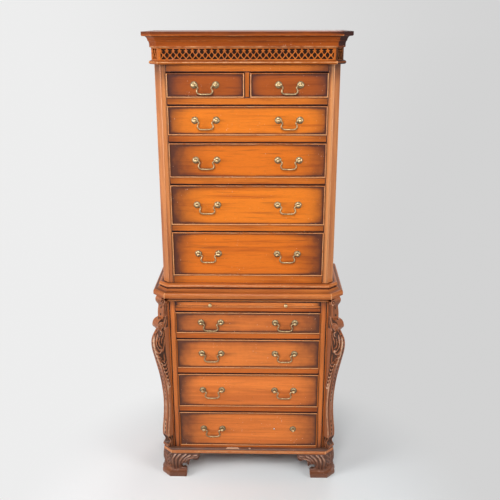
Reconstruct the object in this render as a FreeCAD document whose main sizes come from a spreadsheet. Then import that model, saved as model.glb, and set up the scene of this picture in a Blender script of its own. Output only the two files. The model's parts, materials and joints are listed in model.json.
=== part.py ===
import FreeCAD, Part
import math
import operator
import os

import Sketcher

# Driving sizes in millimetres. A half size or a corner is measured from the middle plane,
# and a front or reach is measured outwards from the face that carries the piece.
SIZES = {
    # upper carcase
    "upper_half": 326.0,
    "upper_cant": 23.0,
    "upper_stile_width": 18.0,
    "upper_depth": 303.0,
    "upper_post_depth": 45.0,
    "top_board_thickness": 14.0,
    # lower carcase
    "lower_half": 338.0,
    "lower_cant": 34.0,
    "lower_stile_width": 18.0,
    "quirk_width": 4.0,
    "quirk_depth": 6.0,
    "lower_depth": 323.0,
    "lower_post_depth": 52.0,
    "waist_board_thickness": 20.0,
    # boards
    "side_thickness": 18.0,
    "back_thickness": 8.0,
    "floor_board_thickness": 15.0,
    "fascia_thickness": 20.0,
    "rail_height": 25.5,
    "top_rail_height": 26.3,
    "lower_rail_height": 24.0,
    "slide_rail_height": 16.5,
    "muntin_half": 9.3,
    "runner_width": 40.0,
    "guide_height": 20.0,
    "centre_runner_half": 28.0,
    # feet and base
    "foot_height": 105.0,
    "foot_side_reach": 21.7,
    "foot_corner_reach": 22.6,
    "foot_front_reach": 29.0,
    "foot_wing": 105.5,
    "foot_block": 48.0,
    "base_side_reach": 13.0,
    "base_corner_reach": 13.0,
    "base_front_reach": 18.0,
    "base_height": 22.5,
    # mouldings
    "ledge_reach": 12.0,
    "waist_side_reach": 38.8,
    "waist_corner_reach": 13.9,
    "waist_front_reach": 50.0,
    "waist_height": 49.0,
    "bead_reach": 18.0,
    "bead_height": 13.0,
    "fret_reach": 8.0,
    "fret_height": 43.0,
    "fret_margin": 10.0,
    "fret_columns": 27,
    "fret_side_columns": 12,
    "fret_corner_columns": 2,
    "cornice_side_reach": 36.0,
    "cornice_corner_reach": 22.0,
    "cornice_front_reach": 50.0,
    "cornice_height": 53.0,
    # scroll corners
    "scroll_reach": 62.0,
    "scroll_thickness": 34.0,
    "scroll_clearance": 0.3,
    # drawers
    "bottom_rail_rise": 7.5,
    "upper_bottom_rail_rise": 78.0,
    "drawer_side_gap": 1.0,
    "drawer_foot_gap": 0.3,
    "drawer_head_gap": 2.7,
    "drawer_back_gap": 15.0,
    "bead_width": 4.5,
    "bead_proud": 3.0,
    "bead_round": 1.6,
    "panel_sunk": 0.5,
    "panel_thickness": 18.0,
    "drawer_side_thickness": 10.0,
    "drawer_side_drop": 8.0,
    "drawer_bottom_rise": 4.0,
    "drawer_bottom_thickness": 6.0,
    "lower_drawer_4_height": 155.5,
    "lower_drawer_3_height": 146.5,
    "lower_drawer_2_height": 124.5,
    "lower_drawer_1_height": 88.0,
    "upper_drawer_4_height": 172.5,
    "upper_drawer_3_height": 151.0,
    "upper_drawer_2_height": 125.5,
    "upper_drawer_1_height": 103.5,
    "short_drawer_height": 84.5,
    # brushing slide
    "slide_height": 25.0,
    "slide_head_gap": 2.0,
    "slide_batten": 30.0,
    "slide_board_thickness": 14.0,
    "slide_knob_spread": 145.0,
    "knob_radius": 7.0,
    "knob_length": 14.0,
    # handles
    "upper_handle_spread": 148.5,
    "lower_handle_spread": 143.8,
    "handle_rise": 1.5,
    "bolt_half": 38.1,
    "rose_radius": 13.0,
    "rose_height": 4.0,
    "bolt_radius": 2.5,
    "neck_radius": 3.0,
    "ball_radius": 5.5,
    "ball_out": 13.0,
    "bolt_tail": 3.0,
    "nut_half": 5.0,
    "nut_thickness": 4.0,
    "wire_radius": 2.3,
    "pin_clearance": 0.05,
    "rose_clearance": 0.1,
    "pin_overlap": 4.0,
    "bail_neck_inset": 15.6,
    "bail_bulge_inset": 11.6,
    "bail_turn_inset": 17.1,
    "bail_bulge_rise": 11.7,
    "bail_drop": 30.7,
    "bail_top_bend": 4.0,
    "bail_side_bend": 12.0,
    "bail_foot_bend": 8.0,
    "bail_grip_half": 15.0,
    "bail_grip_radius": 3.3,
    # how far a cutting shape runs past what it cuts
    "overrun": 5.0,
}

OPERATIONS = {
    "+": operator.add,
    "-": operator.sub,
    "*": operator.mul,
    "/": operator.truediv,
}
DIAGONAL = math.sqrt(0.5)
# The bend of a quarter circle: its radius over the straight distance between its ends
QUARTER = DIAGONAL
# The bends of a rose's dome and of the back of a ball head
DOME = 1.2
BALL = 1.0
UP = FreeCAD.Vector(0, 0, 1)

doc = FreeCAD.newDocument("ChestOnChest")
sheet = doc.addObject("Spreadsheet::Sheet", "Sizes")
nodes = {}


class Size:
    """A length that keeps the sheet formula that it comes from."""

    def __init__(self, value, formula):
        self.value = float(value)
        self.formula = formula

    def joined(self, sign, other, swapped=False):
        """The sum, difference, product or quotient of this size and another."""
        first, second = (sized(other), self) if swapped else (self, sized(other))
        value = OPERATIONS[sign](first.value, second.value)
        return Size(value, "(%s %s %s)" % (first.formula, sign, second.formula))

    def __add__(self, other):
        return self.joined("+", other)

    def __radd__(self, other):
        return self.joined("+", other, swapped=True)

    def __sub__(self, other):
        return self.joined("-", other)

    def __rsub__(self, other):
        return self.joined("-", other, swapped=True)

    def __mul__(self, other):
        return self.joined("*", other)

    def __rmul__(self, other):
        return self.joined("*", other, swapped=True)

    def __truediv__(self, other):
        return self.joined("/", other)

    def __neg__(self):
        return self.joined("-", 0, swapped=True)


def sized(number):
    """A size as it is, or a plain number as a size."""
    return number if isinstance(number, Size) else Size(number, "(%r)" % number)


def fill_sheet():
    """Writes every driving size in the sheet as a plain number with an alias."""
    for row, (name, value) in enumerate(SIZES.items(), start=1):
        sheet.set("A%d" % row, name)
        sheet.set("B%d" % row, str(value))
        sheet.setAlias("B%d" % row, name)
    doc.recompute()


def size(name):
    """A driving size, read back from the sheet."""
    return Size(float(sheet.get(name)), "Sizes." + name)


def place(piece, x, y, z, turn=0):
    """Puts a piece at a place that the sheet drives, turned about its upright axis."""
    turning = FreeCAD.Rotation(UP, turn)
    at = [sized(x), sized(y), sized(z)]
    piece.Placement = FreeCAD.Placement(FreeCAD.Vector(*[part.value for part in at]), turning)
    for axis, part in zip("xyz", at):
        piece.setExpression("Placement.Base." + axis, part.formula)


def keep(node, piece):
    """Adds a finished piece to the sub-part that it belongs to."""
    nodes.setdefault(node, []).append(piece)


def board(node, low, high):
    """A squared board between its lowest and highest corners."""
    piece = doc.addObject("Part::Box", node + "_board")
    for side, start, end in zip(("Length", "Width", "Height"), low, high):
        piece.setExpression(side, sized(end - start).formula)
    place(piece, *low)
    keep(node, piece)


def mirrored_boards(node, low, high):
    """A board on the right and its twin on the left."""
    board(node, low, high)
    board(node, (-high[0], low[1], low[2]), (-low[0], high[1], high[2]))


def distance(start, end):
    """The straight distance between two corners of an outline."""
    across = end[0] - start[0]
    along = end[1] - start[1]
    squares = across * across + along * along
    return Size(math.sqrt(squares.value), "sqrt(%s)" % squares.formula)


def arc_between(start, end, bend):
    """The short arc between two points. The bend is its radius over the straight distance,
    positive where its centre is on the left."""
    chord = end - start
    side = FreeCAD.Vector(-chord.y, chord.x, 0) * math.copysign(1, bend)
    rise = math.sqrt(bend * bend - 1 / 4) - abs(bend)
    return Part.Arc(start, (start + end) * 0.5 + side * rise, end)


def outline(body, role, corners, name):
    """A closed sketch on one of the body's planes. A corner is (x, y) or, before a round
    edge, (x, y, bend), and every corner and radius is tied to the sheet."""
    sketch = body.newObject("Sketcher::SketchObject", name)
    plane = [item for item in body.Origin.OriginFeatures if item.Role == role][0]
    sketch.AttachmentSupport = [(plane, "")]
    sketch.MapMode = "FlatFace"
    draw_loop(sketch, corners)
    return sketch


def draw_loop(sketch, corners):
    """Draws one closed loop of a sketch and ties it to the sheet."""
    corners = [[sized(part) for part in corner[:2]] + list(corner[2:]) for corner in corners]
    points = [FreeCAD.Vector(corner[0].value, corner[1].value, 0) for corner in corners]
    edges = []
    for corner, start, end in zip(corners, points, points[1:] + points[:1]):
        if len(corner) == 3:
            shape = arc_between(start, end, corner[2])
        else:
            shape = Part.LineSegment(start, end)
        index = sketch.addGeometry(shape, False)
        near, far = [(sketch.getPoint(index, end_number) - start).Length for end_number in (1, 2)]
        edges.append((index, 1, 2) if near < far else (index, 2, 1))
    rules = []
    following = corners[1:] + corners[:1]
    for corner, after, edge, previous in zip(corners, following, edges, edges[-1:] + edges[:-1]):
        index, start, _ = edge
        rules.append((Sketcher.Constraint("Coincident", previous[0], previous[2], index, start), None))
        for kind, axis, part in (("DistanceX", -2, corner[0]), ("DistanceY", -1, corner[1])):
            if part.formula == "(0)":
                rules.append((Sketcher.Constraint("PointOnObject", index, start, axis), None))
            else:
                rules.append((Sketcher.Constraint(kind, index, start, part.value), part.formula))
        if len(corner) == 3:
            radius = distance(corner, after) * abs(corner[2])
            rules.append((Sketcher.Constraint("Radius", index, radius.value), radius.formula))
    tie(sketch, rules)


def tie(sketch, rules):
    """Adds constraints to a sketch, with the sheet formulas of those that have one."""
    first = sketch.ConstraintCount
    sketch.addConstraint([rule for rule, _ in rules])
    for number, (_, formula) in enumerate(rules, start=first):
        if formula:
            sketch.setExpression("Constraints[%d]" % number, formula)


def draw_circle(sketch, x, y, radius):
    """Adds a hole to a sketch, its centre and radius tied to the sheet."""
    x, y, radius = sized(x), sized(y), sized(radius)
    circle = Part.Circle(FreeCAD.Vector(x.value, y.value, 0), UP, radius.value)
    index = sketch.addGeometry(circle, False)
    rules = [(Sketcher.Constraint("Radius", index, radius.value), radius.formula)]
    for kind, axis, part in (("DistanceX", -2, x), ("DistanceY", -1, y)):
        if part.formula == "(0)":
            rules.append((Sketcher.Constraint("PointOnObject", index, 3, axis), None))
        else:
            rules.append((Sketcher.Constraint(kind, index, 3, part.value), part.formula))
    tie(sketch, rules)


def padded(body, sketch, length, both_ways=True):
    """Pads a sketch, half to each side of its plane unless told otherwise."""
    pad = body.newObject("PartDesign::Pad", "Pad")
    pad.Profile = sketch
    pad.setExpression("Length", length.formula)
    if both_ways:
        pad.SideType = "Symmetric"
    return pad


def cut_through(body, sketch):
    """Cuts a sketch through the whole body, to both sides of its plane."""
    pocket = body.newObject("PartDesign::Pocket", "Cut")
    pocket.Profile = sketch
    pocket.Type = "ThroughAll"
    pocket.SideType = "Symmetric"
    return pocket


def turned(name, corners):
    """A turned piece: a half outline of (radius, length) spun about its own Y axis."""
    body = doc.addObject("PartDesign::Body", name)
    sketch = outline(body, "XY_Plane", corners, "Half")
    spin = body.newObject("PartDesign::Revolution", "Spin")
    spin.Profile = sketch
    spin.ReferenceAxis = (sketch, ["V_Axis"])
    spin.Angle = 360
    return body


def prism(node, corners, low, high):
    """An upright prism on a plan outline."""
    body = doc.addObject("PartDesign::Body", node + "_prism")
    padded(body, outline(body, "XY_Plane", corners, "Plan"), high - low, both_ways=False)
    place(body, 0, 0, low)
    keep(node, body)


REACHES = ("_side_reach", "_corner_reach", "_front_reach")


class Plan:
    """The outline of a case or moulding seen from above: front, two cants and two sides."""

    def __init__(self, half, corner, front, back):
        self.half = half
        self.corner = corner
        self.front = front
        self.back = back
        self.cant_end = front + half - corner

    def grown(self, reach):
        """The same outline, moved outwards all round but at the back."""
        return self.stretched(reach, reach * (math.sqrt(2) - 1), reach)

    def stretched(self, side, corner, front):
        """The outline with its sides, front corners and front moved outwards."""
        return Plan(self.half + side, self.corner + corner, self.front - front, self.back)

    def moulded(self, name):
        """The outline that a moulding reaches, from its three named reaches."""
        return self.stretched(*[size(name + part) for part in REACHES])

    def corners(self):
        """The six corners of the outline."""
        right = [(self.corner, self.front), (self.half, self.cant_end), (self.half, self.back)]
        return right + [(-x, y) for x, y in reversed(right)]


def moulded_strip(node, profile, height, reach, run, start_shift, end_shift):
    """A run of moulding with its ends cut to the mitre. Its inner lower edge lies along its
    own X axis, and its face looks along its own -Y. The profile is in shares of the reach
    and height, from the inner foot to the inner head, and a third share before a round
    edge is its bend, positive where the edge stands out."""
    body = doc.addObject("PartDesign::Body", node + "_strip")
    corners = []
    for share in profile:
        point = (-(reach * share[0]) if share[0] else 0, height * share[1] if share[1] else 0)
        corners.append(point + tuple(-bend for bend in share[2:]))
    padded(body, outline(body, "YZ_Plane", corners, "Profile"), run + reach * 2)
    over = size("overrun")
    past = over / reach
    for end, shift in ((-run / 2, start_shift), (run / 2, end_shift)):
        outer = end + shift
        away = -(reach * 2) - over if end.value < 0 else reach * 2 + over
        cut = [
            (end - shift * past, over),
            (outer + shift * past, -reach - over),
            (end + away, -reach - over),
            (end + away, over),
        ]
        cut_through(body, outline(body, "XY_Plane", cut, "Mitre"))
    return body


def moulding_ring(node, profile, inner, outer, low, height, finish=None):
    """A moulding along the sides, the cants and the front, as five mitred strips."""
    corner_out = outer.corner - inner.corner
    front_out = inner.front - outer.front
    half_out = outer.half - inner.half
    cant_back = outer.cant_end - inner.cant_end
    cant_start = (corner_out - front_out) * DIAGONAL
    cant_reach = (corner_out + front_out) * DIAGONAL
    cant_run = (inner.half - inner.corner) * math.sqrt(2)
    cant_end = (half_out + cant_back) * DIAGONAL
    side_run = inner.back - inner.cant_end
    cant_x = (inner.corner + inner.half) / 2
    cant_y = (inner.front + inner.cant_end) / 2
    side_y = (inner.cant_end + inner.back) / 2
    none = sized(0)
    strips = (
        ("front", inner.corner * 2, front_out, -corner_out, corner_out, none, inner.front, 0),
        ("cant", cant_run, cant_reach, cant_start, cant_end, cant_x, cant_y, 45),
        ("cant", cant_run, cant_reach, -cant_end, -cant_start, -cant_x, cant_y, -45),
        ("side", side_run, half_out, cant_back, none, inner.half, side_y, 90),
        ("side", side_run, half_out, none, -cant_back, -inner.half, side_y, -90),
    )
    for kind, run, reach, start_shift, end_shift, x, y, turn in strips:
        body = moulded_strip(node, profile, height, reach, run, start_shift, end_shift)
        place(body, x, y, low, turn)
        if finish:
            finish(body, kind, run, height)
        keep(node, body)


fill_sheet()


def stacked(first, names, rail):
    """The bottom and top of each drawer of a stack, from the lowest up."""
    levels = []
    bottom = first
    for name in names:
        top = bottom + size(name + "_height")
        levels.append((name, bottom, top))
        bottom = top + size("drawer_head_gap") + rail + size("drawer_foot_gap")
    return levels


# Levels, from the floor up: the drawers and what lies between them set the cases' heights
base_low = size("foot_height")
ledge_z = base_low + size("base_height")
lower_stack = stacked(
    ledge_z + size("bottom_rail_rise"),
    ["lower_drawer_%d" % number for number in (4, 3, 2, 1)],
    size("lower_rail_height"),
)
slide_rail_low = lower_stack[-1][2] + size("drawer_head_gap")
slide_low = slide_rail_low + size("slide_rail_height") + size("drawer_foot_gap")
lower_top = slide_low + size("slide_height") + size("slide_head_gap")
waist_z = lower_top + size("waist_board_thickness")
upper_stack = stacked(
    waist_z + size("upper_bottom_rail_rise"),
    ["upper_drawer_%d" % number for number in (4, 3, 2, 1)] + ["short_drawer"],
    size("rail_height"),
)
top_rail_low = upper_stack[-1][2] + size("drawer_head_gap")
bead_low = top_rail_low + size("top_rail_height")
fret_low = bead_low + size("bead_height")
cornice_low = fret_low + size("fret_height")
crown_z = cornice_low + size("cornice_height")
upper_top = crown_z - size("top_board_thickness")

# Fronts and back, with the middle of the whole depth at the origin
scroll_front = (size("scroll_reach") + size("scroll_thickness") / 2) * DIAGONAL - size("lower_cant") / 2
back_y = (size("lower_depth") + scroll_front) / 2
lower_front = back_y - size("lower_depth")
upper_front = back_y - size("upper_depth")
upper_plan = Plan(size("upper_half"), size("upper_half") - size("upper_cant"), upper_front, back_y)
lower_plan = Plan(size("lower_half"), size("lower_half") - size("lower_cant"), lower_front, back_y)
upper_opening = upper_plan.corner - size("upper_stile_width")
lower_opening = lower_plan.corner - size("quirk_width") - size("lower_stile_width")
back_board_front = back_y - size("back_thickness")


def post(node, plan, opening_half, depth, low, high, quirk=None):
    """The two front corner posts: stile, canted face and, where asked, a quirk between."""
    rear = plan.front + depth
    corners = [(opening_half, rear), (opening_half, plan.front)]
    if quirk:
        stile_end = opening_half + quirk[0]
        corners += [(stile_end, plan.front), (stile_end, plan.front + quirk[1])]
        corners += [(plan.corner, plan.front + quirk[1])]
    corners += [(plan.corner, plan.front), (plan.half, plan.cant_end), (plan.half, rear)]
    prism(node, corners, low, high)
    prism(node, [(-x, y) for x, y in corners], low, high)


def carcase_boards():
    """Sides, posts, backs, floors, tops and fascia of the two cases."""
    thick = size("side_thickness")
    inner = size("upper_half") - thick
    opening = upper_opening
    post_rear = upper_front + size("upper_post_depth")
    post("upper_corner_posts", upper_plan, opening, size("upper_post_depth"), waist_z, upper_top)
    mirrored_boards("upper_sides", (inner, post_rear, waist_z), (size("upper_half"), back_y, upper_top))
    board("upper_back_panel", (-inner, back_board_front, waist_z), (inner, back_y, upper_top))
    floor_top = waist_z + size("floor_board_thickness")
    board("upper_end_boards", (-inner, post_rear, waist_z), (inner, back_board_front, floor_top))
    prism("upper_end_boards", upper_plan.corners(), upper_top, crown_z)
    fascia_rear = upper_front + size("fascia_thickness")
    board("upper_front_rails", (-opening, upper_front, bead_low), (opening, fascia_rear, upper_top))
    rail_top = upper_stack[0][1] - size("drawer_foot_gap")
    board("upper_front_rails", (-opening, upper_front, waist_z), (opening, fascia_rear, rail_top))
    board("upper_front_rails", (-opening, fascia_rear, waist_z), (opening, post_rear, floor_top))

    inner = size("lower_half") - thick
    opening = lower_opening
    post_rear = lower_front + size("lower_post_depth")
    quirk = (size("lower_stile_width"), size("quirk_depth"))
    post("lower_corner_posts", lower_plan, opening, size("lower_post_depth"), base_low, lower_top, quirk)
    mirrored_boards("lower_sides", (inner, post_rear, base_low), (size("lower_half"), back_y, lower_top))
    board("lower_back_panel", (-inner, back_board_front, base_low), (inner, back_y, lower_top))
    floor_top = base_low + size("floor_board_thickness")
    board("lower_end_boards", (-inner, post_rear, base_low), (inner, back_board_front, floor_top))
    prism("lower_end_boards", lower_plan.corners(), lower_top, waist_z)


def rails_and_runners():
    """The rails across each front, and the runners and guides behind them."""
    gap = size("drawer_foot_gap")
    cases = (
        ("upper", upper_front, size("upper_post_depth"), upper_opening,
         size("upper_half") - size("side_thickness"), upper_stack, size("rail_height")),
        ("lower", lower_front, size("lower_post_depth"), lower_opening,
         size("lower_half") - size("side_thickness"), lower_stack, size("lower_rail_height")),
    )
    for case, front, depth, opening, inner, stack, rail in cases:
        rear = front + depth
        levels = [(bottom - gap, rail) for _, bottom, _ in stack]
        if case == "lower":
            levels.append((slide_low - gap, size("slide_rail_height")))
        for number, (top, height) in enumerate(levels):
            low = top - height
            if number == 0 and case == "lower":
                low = base_low
            if number > 0 or case == "lower":
                board(case + "_front_rails", (-opening, front, low), (opening, rear, top))
            runner_low = low
            if number == 0 and case == "lower":
                runner_low = base_low + size("floor_board_thickness")
            mirrored_boards(case + "_runners", (inner - size("runner_width"), rear, runner_low),
                            (inner, back_board_front, top))
            mirrored_boards(case + "_runners", (opening, rear, top),
                            (inner, back_board_front, top + size("guide_height")))
    opening = upper_opening
    rear = upper_front + size("upper_post_depth")
    board("upper_front_rails", (-opening, upper_front, top_rail_low), (opening, rear, bead_low))
    short_floor = upper_stack[-1][1] - gap
    middle = size("muntin_half")
    wide = size("centre_runner_half")
    board("upper_front_rails", (-middle, upper_front, short_floor), (middle, rear, top_rail_low))
    board("upper_runners", (-wide, rear, short_floor - size("rail_height")),
          (wide, back_board_front, short_floor))
    board("upper_runners", (-middle, rear, short_floor),
          (middle, back_board_front, short_floor + size("guide_height")))


# Moulding profiles, in shares of the reach and the height
CORNICE_SHARES = (
    (0, 0), (0.28, 0), (0.28, 0.06, -1.02), (0.58, 0.60), (0.64, 0.60),
    (0.64, 0.66, 0.96), (0.86, 0.80), (1.0, 0.80), (1.0, 1.0), (0, 1.0),
)
ASTRAGAL_SHARES = (
    (0, 0), (0.58, 0, 0.76), (1.0, 0.5, 0.76), (0.58, 1.0), (0, 1.0),
)
WAIST_SHARES = (
    (0, 0), (0.86, 0, 0.91), (1.0, 0.26, 1.0), (0.88, 0.50), (0.84, 0.53, -1.17),
    (0.34, 0.68), (0.25, 0.70), (0.25, 0.755, 0.96), (0.33, 0.87, 0.96),
    (0.25, 0.985), (0, 1.0),
)
LEDGE_SHARES = (
    (0, 0), (0.15, 0), (0.15, 0.15, -0.89), (0.75, 0.65), (1.0, 0.65), (1.0, 1.0), (0, 1.0),
)
BASE_SHARES = (
    (0, 0), (0.86, 0), (1.0, 0.14), (1.0, 0.62, 0.95), (0.72, 1.0), (0, 1.0),
)
FRET_SHARES = ((0, 0), (1.0, 0), (1.0, 1.0), (0, 1.0))
FOOT_SHARES = (
    (0, 0), (0.94, 0), (1.0, 0.10), (0.94, 0.20, -0.81), (0.46, 0.31, -2.85),
    (0.66, 0.62, 1.23), (0.60, 0.96), (0.52, 1.0), (0, 1.0),
)

# The pierced holes of one column of the fret, in shares of the column's width and the
# strip's height: a bar over a heart, and a triangle at the foot
BAR_AND_HEART_SHARES = (
    (-0.32, 0.865), (-0.28, 0.80), (-0.11, 0.765), (-0.11, 0.72), (-0.27, 0.69), (-0.23, 0.61),
    (0, 0.52), (0.23, 0.61), (0.27, 0.69), (0.11, 0.72), (0.11, 0.765), (0.28, 0.80), (0.32, 0.865),
)
TRIANGLE_SHARES = ((-0.28, 0.135), (0.28, 0.135), (0.26, 0.18), (0, 0.32), (-0.26, 0.18))
LOZENGE_SHARES = ((0, 0.27), (0.19, 0.36), (0.19, 0.49), (0, 0.58), (-0.19, 0.49), (-0.19, 0.36))


def pierce(body, kind, run, height):
    """Pierces a strip of the frieze with its columns of holes and the lozenges between."""
    columns = size({"front": "fret_columns", "side": "fret_side_columns",
                    "cant": "fret_corner_columns"}[kind])
    margin = size("fret_margin") / (3 if kind == "cant" else 1)
    pitch = (run - margin * 2) / columns
    first = -run / 2 + margin + pitch / 2
    holes = (
        (BAR_AND_HEART_SHARES, first, columns),
        (TRIANGLE_SHARES, first, columns),
        (LOZENGE_SHARES, first + pitch / 2, columns - 1),
    )
    for shares, start, count in holes:
        corners = [(start + pitch * x, height * z) for x, z in shares]
        sketch = outline(body, "XZ_Plane", corners, "Hole")
        cut = cut_through(body, sketch)
        if count.value < 2:
            continue
        row = body.newObject("PartDesign::LinearPattern", "Row")
        row.Originals = [cut]
        row.Direction = (sketch, ["H_Axis"])
        row.setExpression("Length", (pitch * (count - 1)).formula)
        row.setExpression("Occurrences", count.formula)
        body.Tip = row


def mouldings():
    """The five mouldings that run round the cases."""
    cornice = upper_plan.moulded("cornice")
    moulding_ring("cornice", CORNICE_SHARES, upper_plan, cornice, cornice_low, size("cornice_height"))
    fret = upper_plan.grown(size("fret_reach"))
    moulding_ring("fret_frieze", FRET_SHARES, upper_plan, fret, fret_low, size("fret_height"), pierce)
    astragal = upper_plan.grown(size("bead_reach"))
    moulding_ring("frieze_bead", ASTRAGAL_SHARES, upper_plan, astragal, bead_low, size("bead_height"))
    waist = upper_plan.moulded("waist")
    moulding_ring("waist_moulding", WAIST_SHARES, upper_plan, waist, waist_z, size("waist_height"))
    ledge = lower_plan.grown(size("ledge_reach"))
    moulding_ring("waist_moulding", LEDGE_SHARES, lower_plan, ledge, lower_top,
                  size("waist_board_thickness"))
    base = lower_plan.moulded("base")
    moulding_ring("base_moulding", BASE_SHARES, lower_plan, base, base_low, size("base_height"))


# The lower edge of a foot's wing, from its tip to its pad, in shares of the wing's length
# from tip to mitre and of the foot's height
WING_SHARES = (
    (0, 0.97), (0.15, 0.71), (0.28, 0.75), (0.38, 0.74), (0.48, 0.46),
    (0.54, 0.53), (0.66, 0.56), (0.74, 0.47), (0.75, 0.38), (0.70, 0.325), (0.62, 0.335),
    (0.545, 0.28), (0.53, 0.20), (0.56, 0),
)


def foot_strip(node, reach, start_shift, end_shift, mirrored, x, y, turn):
    """One wing of a bracket foot: an ogee strip whose lower edge is sawn to scrolls."""
    run = size("foot_wing")
    height = size("foot_height")
    body = moulded_strip(node, FOOT_SHARES, height, reach, run, start_shift, end_shift)
    over = size("overrun")
    sign = -1 if mirrored else 1
    edge = [(((run * (share - 0.5)) * sign) if share != 0.5 else 0, height * rise if rise else -over)
            for share, rise in WING_SHARES]
    far = (-(run / 2) - over) * sign
    loop = [(far, -over), (far, height * WING_SHARES[0][1])] + edge
    cut_through(body, outline(body, "XZ_Plane", loop, "Scrolls"))
    place(body, x, y, 0, turn)
    keep(node, body)


def feet():
    """Four bracket feet: sawn wings, canted corners in front and blocks behind them."""
    inner = lower_plan
    outer = inner.moulded("foot")
    height = size("foot_height")
    corner_out = outer.corner - inner.corner
    front_out = inner.front - outer.front
    half_out = outer.half - inner.half
    cant_back = outer.cant_end - inner.cant_end
    wing_middle = size("foot_wing") / 2
    none = sized(0)
    block = size("foot_block")
    for sign in (1, -1):
        right = sign > 0
        front_x = (inner.corner - wing_middle) * sign
        shifts = (none, corner_out) if right else (-corner_out, none)
        foot_strip("front_feet", front_out, *shifts, not right, front_x, inner.front, 0)
        side_y = inner.cant_end + wing_middle
        shifts = (cant_back, none) if right else (none, -cant_back)
        foot_strip("front_feet", half_out, *shifts, right, inner.half * sign, side_y, 90 * sign)
        foot_strip("back_feet", half_out, none, none, not right, inner.half * sign,
                   back_y - wing_middle, 90 * sign)
        cant_start = (corner_out - front_out) * DIAGONAL
        cant_end = (half_out + cant_back) * DIAGONAL
        cant_reach = (corner_out + front_out) * DIAGONAL
        shifts = (cant_start, cant_end) if right else (-cant_end, -cant_start)
        cant = moulded_strip("front_feet", FOOT_SHARES, height, cant_reach,
                             (inner.half - inner.corner) * math.sqrt(2), *shifts)
        place(cant, (inner.corner + inner.half) / 2 * sign, (inner.front + inner.cant_end) / 2, 0, 45 * sign)
        keep("front_feet", cant)
        rear = inner.front + block
        plan = [(inner.corner - block / 2, rear), (inner.corner - block / 2, inner.front),
                (inner.corner, inner.front), (inner.half, inner.cant_end), (inner.half, rear)]
        prism("front_feet", [(x * sign, y) for x, y in plan], none, height)
        low = ((inner.half - block) if right else -inner.half, back_y - block, none)
        high = (inner.half if right else block - inner.half, back_y, height)
        board("back_feet", low, high)


# The outer edge of a scroll corner, from its foot up, in shares of its height and reach.
# A crease ends each list.
SCROLL_SHARES = (
    ((0, 0.36), (0.010, 0.45), (0.024, 0.42), (0.034, 0.30), (0.044, 0.27), (0.058, 0.35),
     (0.083, 0.44), (0.122, 0.44), (0.184, 0.355), (0.246, 0.285), (0.331, 0.275), (0.404, 0.34),
     (0.506, 0.525), (0.557, 0.66), (0.612, 0.805), (0.667, 0.95), (0.715, 1.0), (0.751, 0.925),
     (0.776, 0.755), (0.795, 0.60)),
    ((0.795, 0.60), (0.806, 0.70), (0.822, 0.80), (0.840, 0.83), (0.857, 0.74), (0.866, 0.55),
     (0.868, 0.40)),
    ((0.868, 0.40), (0.895, 0.395), (0.922, 0.355), (0.942, 0.34), (0.953, 0.42), (0.966, 0.50),
     (0.982, 0.53), (0.994, 0.47), (1.0, 0.40)),
)


def scroll_corners():
    """The flat-sided scroll bracket on each lower cant, from the base to the waist."""
    low = ledge_z.value
    high = waist_z.value
    reach = size("scroll_reach").value
    notch = size("ledge_reach").value + size("scroll_clearance").value
    notch_z = lower_top.value - size("scroll_clearance").value
    thick = size("scroll_thickness").value
    edges = []
    for shares in SCROLL_SHARES:
        points = [FreeCAD.Vector(reach * out, -thick / 2, low + (high - low) * rise) for rise, out in shares]
        curve = Part.BSplineCurve()
        curve.interpolate(points)
        edges.append(curve.toShape())
    first = edges[0].firstVertex().Point
    last = edges[-1].lastVertex().Point
    back = [last, FreeCAD.Vector(notch, last.y, high), FreeCAD.Vector(notch, last.y, notch_z),
            FreeCAD.Vector(0, last.y, notch_z), FreeCAD.Vector(0, last.y, low), first]
    edges += [Part.makeLine(start, end) for start, end in zip(back, back[1:])]
    bracket = Part.Face(Part.Wire(edges)).extrude(FreeCAD.Vector(0, thick, 0))
    cant_x = (lower_plan.corner + lower_plan.half) / 2
    cant_y = (lower_plan.front + lower_plan.cant_end) / 2
    for node, x, turn in (("right_scroll_corner", cant_x, -45), ("left_scroll_corner", -cant_x, -135)):
        piece = doc.addObject("Part::Feature", node + "_bracket")
        piece.Shape = bracket
        place(piece, x, cant_y, 0, turn)
        keep(node, piece)


def drawer_front(node, middle, half, front, bottom, top, holes):
    """The front panel of a drawer, with its bolt holes, inside its four cock beads."""
    bead = size("bead_width")
    height = top - bottom - bead * 2
    wide = half - bead
    body = doc.addObject("PartDesign::Body", node + "_panel")
    corners = [(-wide, -height / 2), (wide, -height / 2), (wide, height / 2), (-wide, height / 2)]
    sketch = outline(body, "XZ_Plane", corners, "Face")
    for x in holes:
        draw_circle(sketch, x, size("handle_rise"), size("bolt_radius") + size("rose_clearance"))
    padded(body, sketch, size("panel_thickness"))
    place(body, middle, front + size("panel_sunk") + size("panel_thickness") / 2, (bottom + top) / 2)
    keep(node, body)
    nose = front - size("bead_proud")
    rear = front + size("panel_sunk") + size("panel_thickness")
    strips = (
        ((middle - half, bottom), (middle + half, bottom + bead)),
        ((middle - half, top - bead), (middle + half, top)),
        ((middle - half, bottom + bead), (middle - half + bead, top - bead)),
        ((middle + half - bead, bottom + bead), (middle + half, top - bead)),
    )
    for (x0, z0), (x1, z1) in strips:
        cock_bead(node, x0, z0, x1, z1, nose, rear, upright=x1.value - x0.value < z1.value - z0.value)


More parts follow.
